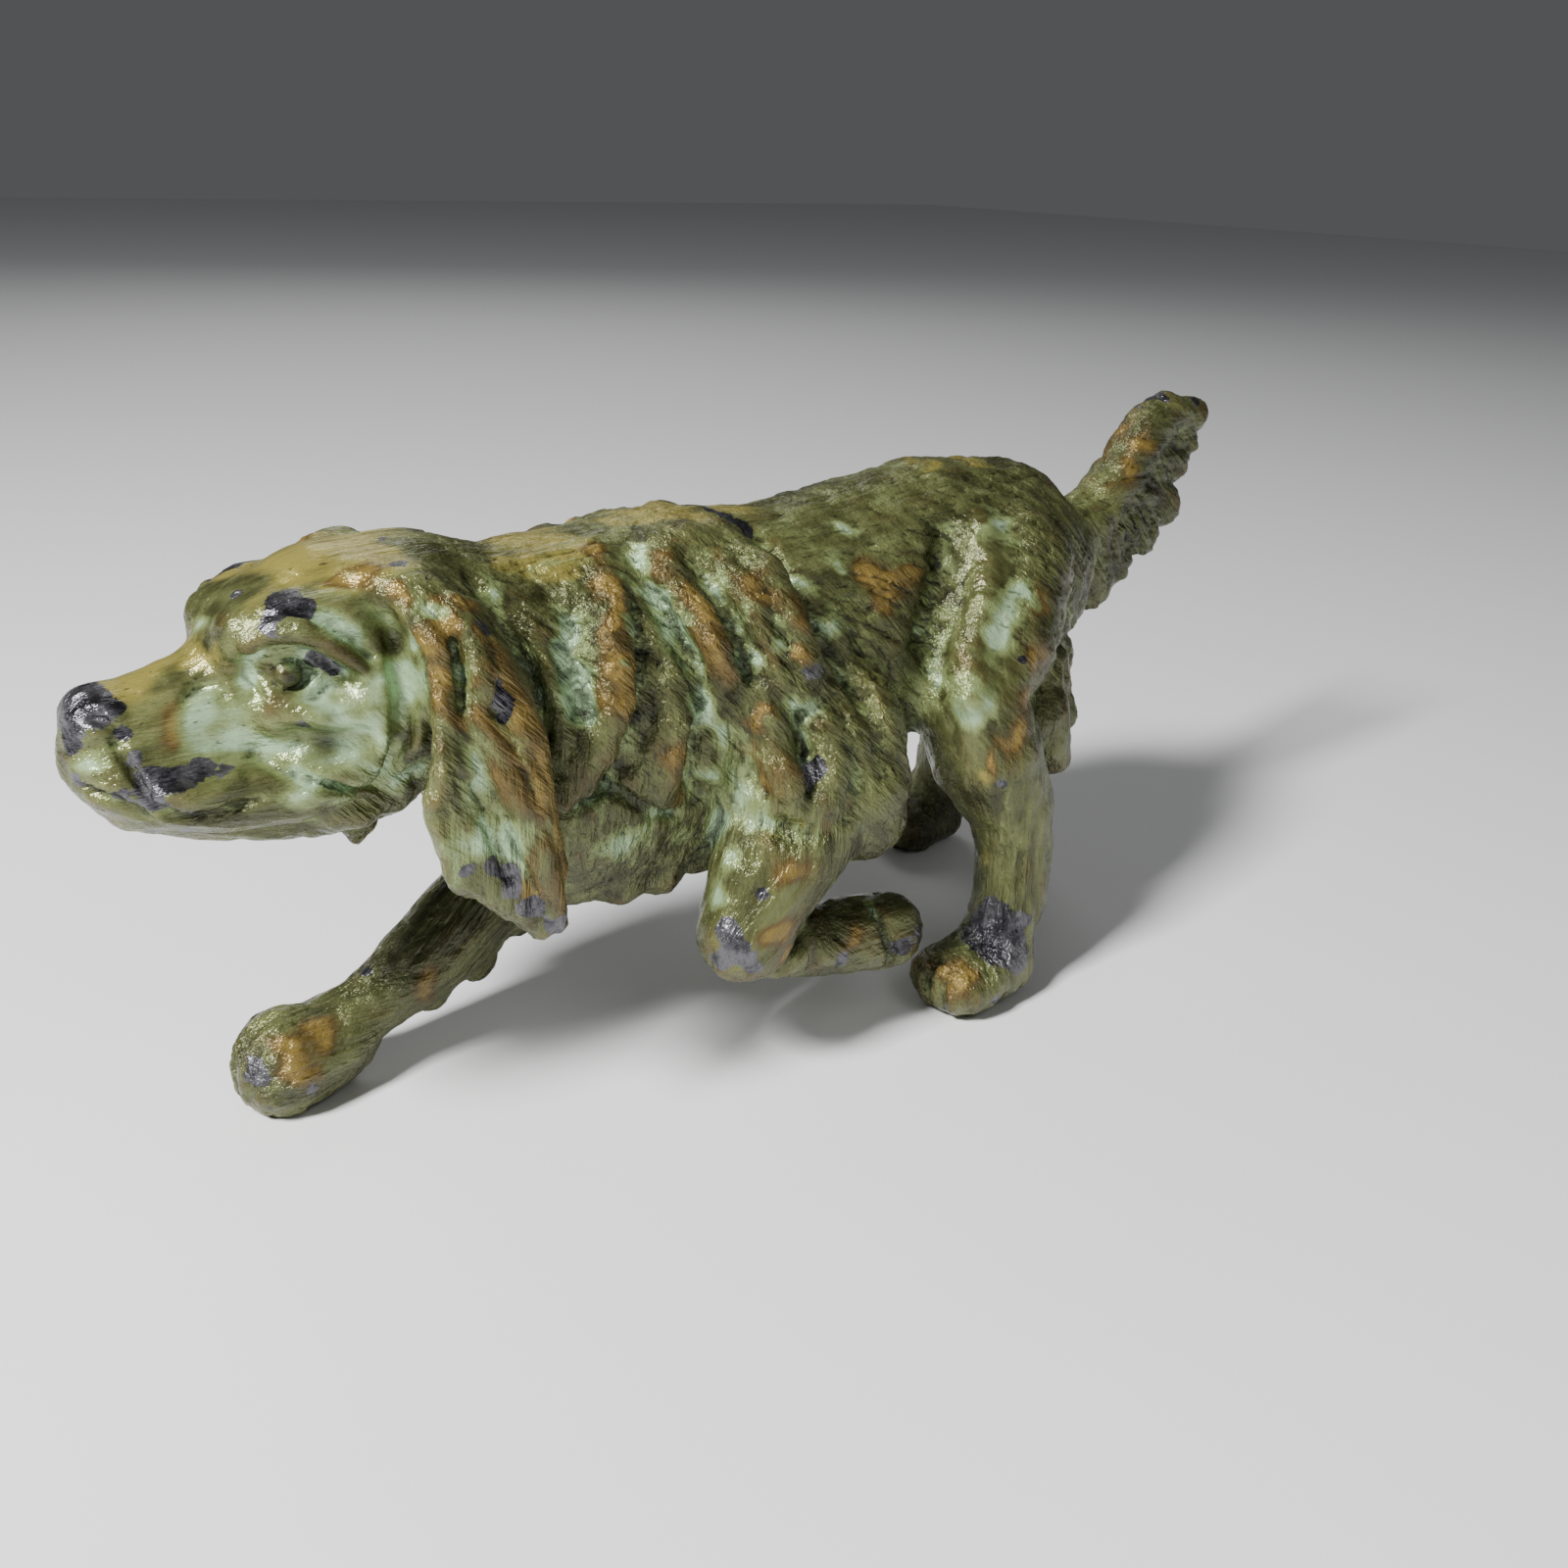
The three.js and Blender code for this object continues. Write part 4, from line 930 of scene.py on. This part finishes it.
lines = [
    grid_lines(GRID_LOW[0], GRID_HIGH[0], lambda x: HEAD_STEP if x < HEAD_ENDS else BODY_STEP),
    grid_lines(GRID_LOW[1], GRID_HIGH[1], lambda y: CROSS_STEP),
    grid_lines(GRID_LOW[2], GRID_HIGH[2], lambda z: FACE_STEP if z > CHIN else CROSS_STEP),
]
grid = sample(all_forms, lines)
skin = Skin(*lay_net(grid, lines))
settle(skin, grid, lines)
skin.stand()
plain = near(skin.at, PLAIN)[:, None]
skin.at = (1 - plain) * skin.at + plain * skin.smooth(skin.at, FOLD_ROUNDS)
fold_hollow = skin.hollows(FOLD_ROUNDS)
skin.lift(-FOLD_CONTRAST * fold_hollow)

rng = np.random.default_rng(SEED)
smooth_parts = near(skin.at, SMOOTH)
deep_parts = near(skin.at, DEEP)
hair_places = hair_lines(skin.at)
clumps = streaks(rng, hair_places, CLUMP_WIDTH)
locks = streaks(rng, hair_places, LOCK_WIDTH)
strands = streaks(rng, hair_places, STRAND_WIDTH)
relief = CLUMP_HEIGHT * clumps + LOCK_DEPTH * ridged(locks, LOCK_LIMIT, LOCK_SHARPNESS)
relief += STRAND_DEPTH * ridged(strands, STRAND_LIMIT)
relief *= (1 - SMOOTH_FADE * smooth_parts) * (1 + DEEP_GROWTH * deep_parts)
skin.lift(relief)
skin.stand()
hair_hollow = skin.hollows(HAIR_ROUNDS)

mesh = bpy.data.meshes.new("setter_figure")
mesh.from_pydata(place(skin.at).tolist(), [], skin.quads.tolist())
mesh.shade_smooth()
figure = bpy.data.objects.new("setter_figure", mesh)
bpy.context.scene.collection.objects.link(figure)


def keep(name, values):
    """Stores one value or one vector for each vertex, for the paint to read."""
    values = values.astype(np.float32)
    if values.ndim == 1:
        mesh.attributes.new(name, "FLOAT", "POINT").data.foreach_set("value", values)
    else:
        mesh.attributes.new(name, "FLOAT_VECTOR", "POINT").data.foreach_set("vector", values.reshape(-1))


flow = combing_at(skin.at)
turn_down = np.degrees(np.arctan2(-flow[:, 2], flow[:, 0]))
lie_shares = [np.clip(1 - np.abs((turn_down - lie + 90) % 180 - 90) / LIE_STEP, 0, 1) for lie in HAIR_LIES]
keep("lie", np.stack(lie_shares[:3], 1))
keep("hollow", np.clip(0.5 + fold_hollow / FULL_FOLD, 0, 1))
keep("fine_hollow", np.clip(0.5 + hair_hollow / FULL_HAIR, 0, 1))
# Painted shade: full at the shade places, and a share of it at the dim ones.
keep("shade", np.clip(near(skin.at, SHADE) + DIM_SHARE * near(skin.at, DIM), 0, 1))
keep("streak", np.clip(0.5 + STREAK_STRENGTH * streaks(rng, hair_places, STREAK_WIDTH), 0, 1))
wander = np.stack([streaks(rng, hair_places, WANDER_WIDTH) for _ in range(3)], 1)
for name, places in {"mint": MINT, "ochre": OCHRE, "gold": GOLD, "lead": LEAD}.items():
    keep(name, near(skin.at + WANDER[name] * wander, places))
keep("bare", smooth_parts)

# Materials


class Nodes:
    """A material's node tree, with short calls for the nodes that it is made of."""

    def __init__(self, name):
        self.material = bpy.data.materials.new(name)
        self.material.use_nodes = True
        self.tree = self.material.node_tree
        self.shader = self.tree.nodes["Principled BSDF"]

    def put(self, value, socket):
        """Links a socket to the input, or sets a plain value on it."""
        if isinstance(value, bpy.types.NodeSocket):
            self.tree.links.new(value, socket)
        else:
            socket.default_value = value

    def add(self, kind, inputs=None, **settings):
        node = self.tree.nodes.new(kind)
        for key, value in settings.items():
            setattr(node, key, value)
        for key, value in (inputs or {}).items():
            self.put(value, node.inputs[key])
        return node

    def attribute(self, name, output="Fac"):
        return self.add("ShaderNodeAttribute", attribute_name=name).outputs[output]

    def math(self, operation, *values, clamp=False):
        node = self.add("ShaderNodeMath", operation=operation, use_clamp=clamp)
        for socket, value in zip(node.inputs, values):
            self.put(value, socket)
        return node.outputs[0]

    def times(self, value, factor):
        return self.math("MULTIPLY", value, factor)

    def centred(self, value):
        """A value about 0.5 made one about zero."""
        return self.math("SUBTRACT", value, 0.5)

    def total(self, *values):
        value = values[0]
        for other in values[1:]:
            value = self.math("ADD", value, other)
        return value

    def step(self, value, low, high):
        node = self.add("ShaderNodeMapRange", {"Value": value, "From Min": low, "From Max": high})
        node.interpolation_type = "SMOOTHSTEP"
        return node.outputs[0]

    def mix(self, factor, a, b):
        node = self.add("ShaderNodeMix", data_type="RGBA")
        for socket, value in zip((node.inputs[0], node.inputs[6], node.inputs[7]), (factor, a, b)):
            self.put(value, socket)
        return node.outputs[2]

    def noise(self, vector, scale, detail, roughness):
        inputs = {"Vector": vector, "Scale": scale, "Detail": detail, "Roughness": roughness}
        return self.add("ShaderNodeTexNoise", inputs).outputs[0]

    def combed(self, along, across, detail):
        """Noise drawn out along the hair: one pattern for each way it lies, in the vertices' shares."""
        position = self.add("ShaderNodeTexCoord").outputs["Object"]
        first = self.add("ShaderNodeSeparateXYZ", {"Vector": self.attribute("lie", "Vector")}).outputs
        last = self.math("SUBTRACT", 1.0, self.total(*first), clamp=True)
        parts = []
        for lie, share in zip(HAIR_LIES, (*first, last)):
            turn = (0, math.radians(lie), 0)
            inputs = {"Vector": position, "Rotation": turn, "Scale": (along, across, across)}
            space = self.add("ShaderNodeMapping", inputs, vector_type="TEXTURE").outputs[0]
            parts.append(self.times(self.noise(space, 1.0, detail, COMBED_ROUGHNESS), share))
        return self.total(*parts)


def patina():
    """The worn paint: ground, patches of colour, painted shade in the creases and folds with dark flecks,
    and metal where it is rubbed off.
    """
    n = Nodes("patina")
    position = n.add("ShaderNodeTexCoord").outputs["Object"]
    strands, grooves, fleck = (n.combed(*s) for s in (STRAND_STROKE, GROOVE_STROKE, FLECK_STROKE))
    blotch, cloud, grain = (n.noise(position, *s) for s in (BLOTCH_NOISE, CLOUD_NOISE, GRAIN_NOISE))
    hollow = n.attribute("hollow")
    furry = n.math("SUBTRACT", FURRY, n.attribute("bare"))
    parts = {
        "hollow": n.centred(hollow),
        "streak": n.centred(n.attribute("streak")),
        "plain strand": n.centred(strands),
        "plain groove": n.centred(grooves),
        "strand": n.times(n.centred(strands), furry),
        "groove": n.times(n.centred(grooves), furry),
        "blotch": n.centred(blotch),
        "cloud": n.centred(cloud),
        "grain": n.centred(grain),
    }

    def amount(shares, patches=None):
        values = [n.times(parts[name], share) for name, share in shares.items()]
        if patches:
            values.append(n.times(n.attribute(patches), PLACE_SHARE[patches]))
        return n.total(*values)

    colour = n.mix(n.step(amount(GROUND_PARTS), *GROUND_RANGE), OLIVE_DARK, OLIVE)
    for patches, shares, layers in PAINTS:
        coverage = amount(shares, patches)
        for low, high, paint in layers:
            colour = n.mix(n.step(coverage, low, high), colour, paint)

    # Painted shade in narrow creases, in deep folds and at the shade places, together with dark flecks in
    # the paint.
    shade_and_flecks = n.total(
        n.step(n.attribute("fine_hollow"), *SHADED_CREASE),
        n.step(fleck, *DIRTY_FLECK),
        n.step(hollow, *SHADED_FOLD),
        n.times(n.attribute("shade"), SHADE_STRENGTH),
    )
    colour = n.mix(n.math("MULTIPLY", shade_and_flecks, SHADE_AND_FLECK_STRENGTH, clamp=True), colour, SHADE_AND_FLECK_DARK)

    metal = n.step(amount(LEAD_PARTS, "lead"), *RUBBED_THROUGH)
    colour = n.mix(metal, colour, n.mix(n.step(cloud, *LEAD_CLOUDS), LEAD_DARK, LEAD_BRIGHT))
    n.put(colour, n.shader.inputs["Base Color"])
    n.put(n.math("ADD", n.times(metal, METAL_GAIN), PAINT_METALLIC), n.shader.inputs["Metallic"])
    rough = n.total(n.times(parts["cloud"], ROUGH_CLOUDS), n.times(metal, ROUGH_METAL), PAINT_ROUGHNESS)
    n.put(rough, n.shader.inputs["Roughness"])

    bump = {}
    for name, strength, height in BUMPS:
        inputs = {"Height": parts[name], "Strength": strength, "Distance": height, **bump}
        bump = {"Normal": n.add("ShaderNodeBump", inputs).outputs[0]}
    n.put(bump["Normal"], n.shader.inputs["Normal"])
    return n.material


mesh.materials.append(patina())
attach(figure, "root")
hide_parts(NODE)

# Floor, light and camera

floor_mesh = bpy.data.meshes.new("floor")
floor_corners = [(x * FLOOR_REACH, y * FLOOR_REACH, 0) for x, y in ((-1, -1), (1, -1), (1, 1), (-1, 1))]
floor_mesh.from_pydata(floor_corners, [], [(0, 1, 2, 3)])
floor = bpy.data.objects.new("floor", floor_mesh)
bpy.context.scene.collection.objects.link(floor)
floor_paint = Nodes("floor")
floor_paint.shader.inputs["Base Color"].default_value = FLOOR_GREY
floor_paint.shader.inputs["Roughness"].default_value = FLOOR_ROUGHNESS
floor_mesh.materials.append(floor_paint.material)

world = bpy.data.worlds.new("studio")
world.use_nodes = True
world.node_tree.nodes["Background"].inputs[0].default_value = STUDIO_COLOUR
world.node_tree.nodes["Background"].inputs[1].default_value = STUDIO_STRENGTH
bpy.context.scene.world = world


def lamp(name, where, size, power):
    """A square soft lamp that looks at the figure."""
    light = bpy.data.lights.new(name, "AREA")
    light.size, light.energy = size, power
    lamp_object = bpy.data.objects.new(name, light)
    lamp_object.location = where
    lamp_object.rotation_euler = (Vector(LAMP_TARGET) - Vector(where)).to_track_quat("-Z", "Y").to_euler()
    bpy.context.scene.collection.objects.link(lamp_object)


for one_lamp in LAMPS:
    lamp(*one_lamp)

camera_data = bpy.data.cameras.new("photo_view")
camera_data.sensor_width = SENSOR_WIDTH
camera_data.lens = SENSOR_WIDTH * FOCAL_LENGTH_PX / PHOTO_SIZE_PX
camera_data.shift_y = (PRINCIPAL_HEIGHT_PX - PHOTO_SIZE_PX / 2) / PHOTO_SIZE_PX
camera = bpy.data.objects.new("photo_view", camera_data)
turn = Euler((0, 0, HEADING - math.pi / 2)).to_matrix() @ Euler((math.pi / 2 - PITCH, 0, 0)).to_matrix()
turn = turn @ Matrix.Rotation(ROLL, 3, "Z")
camera.matrix_world = Matrix.Translation(place(np.array(CAMERA_PLACE))) @ turn.to_4x4()
bpy.context.scene.collection.objects.link(camera)
bpy.context.scene.camera = camera
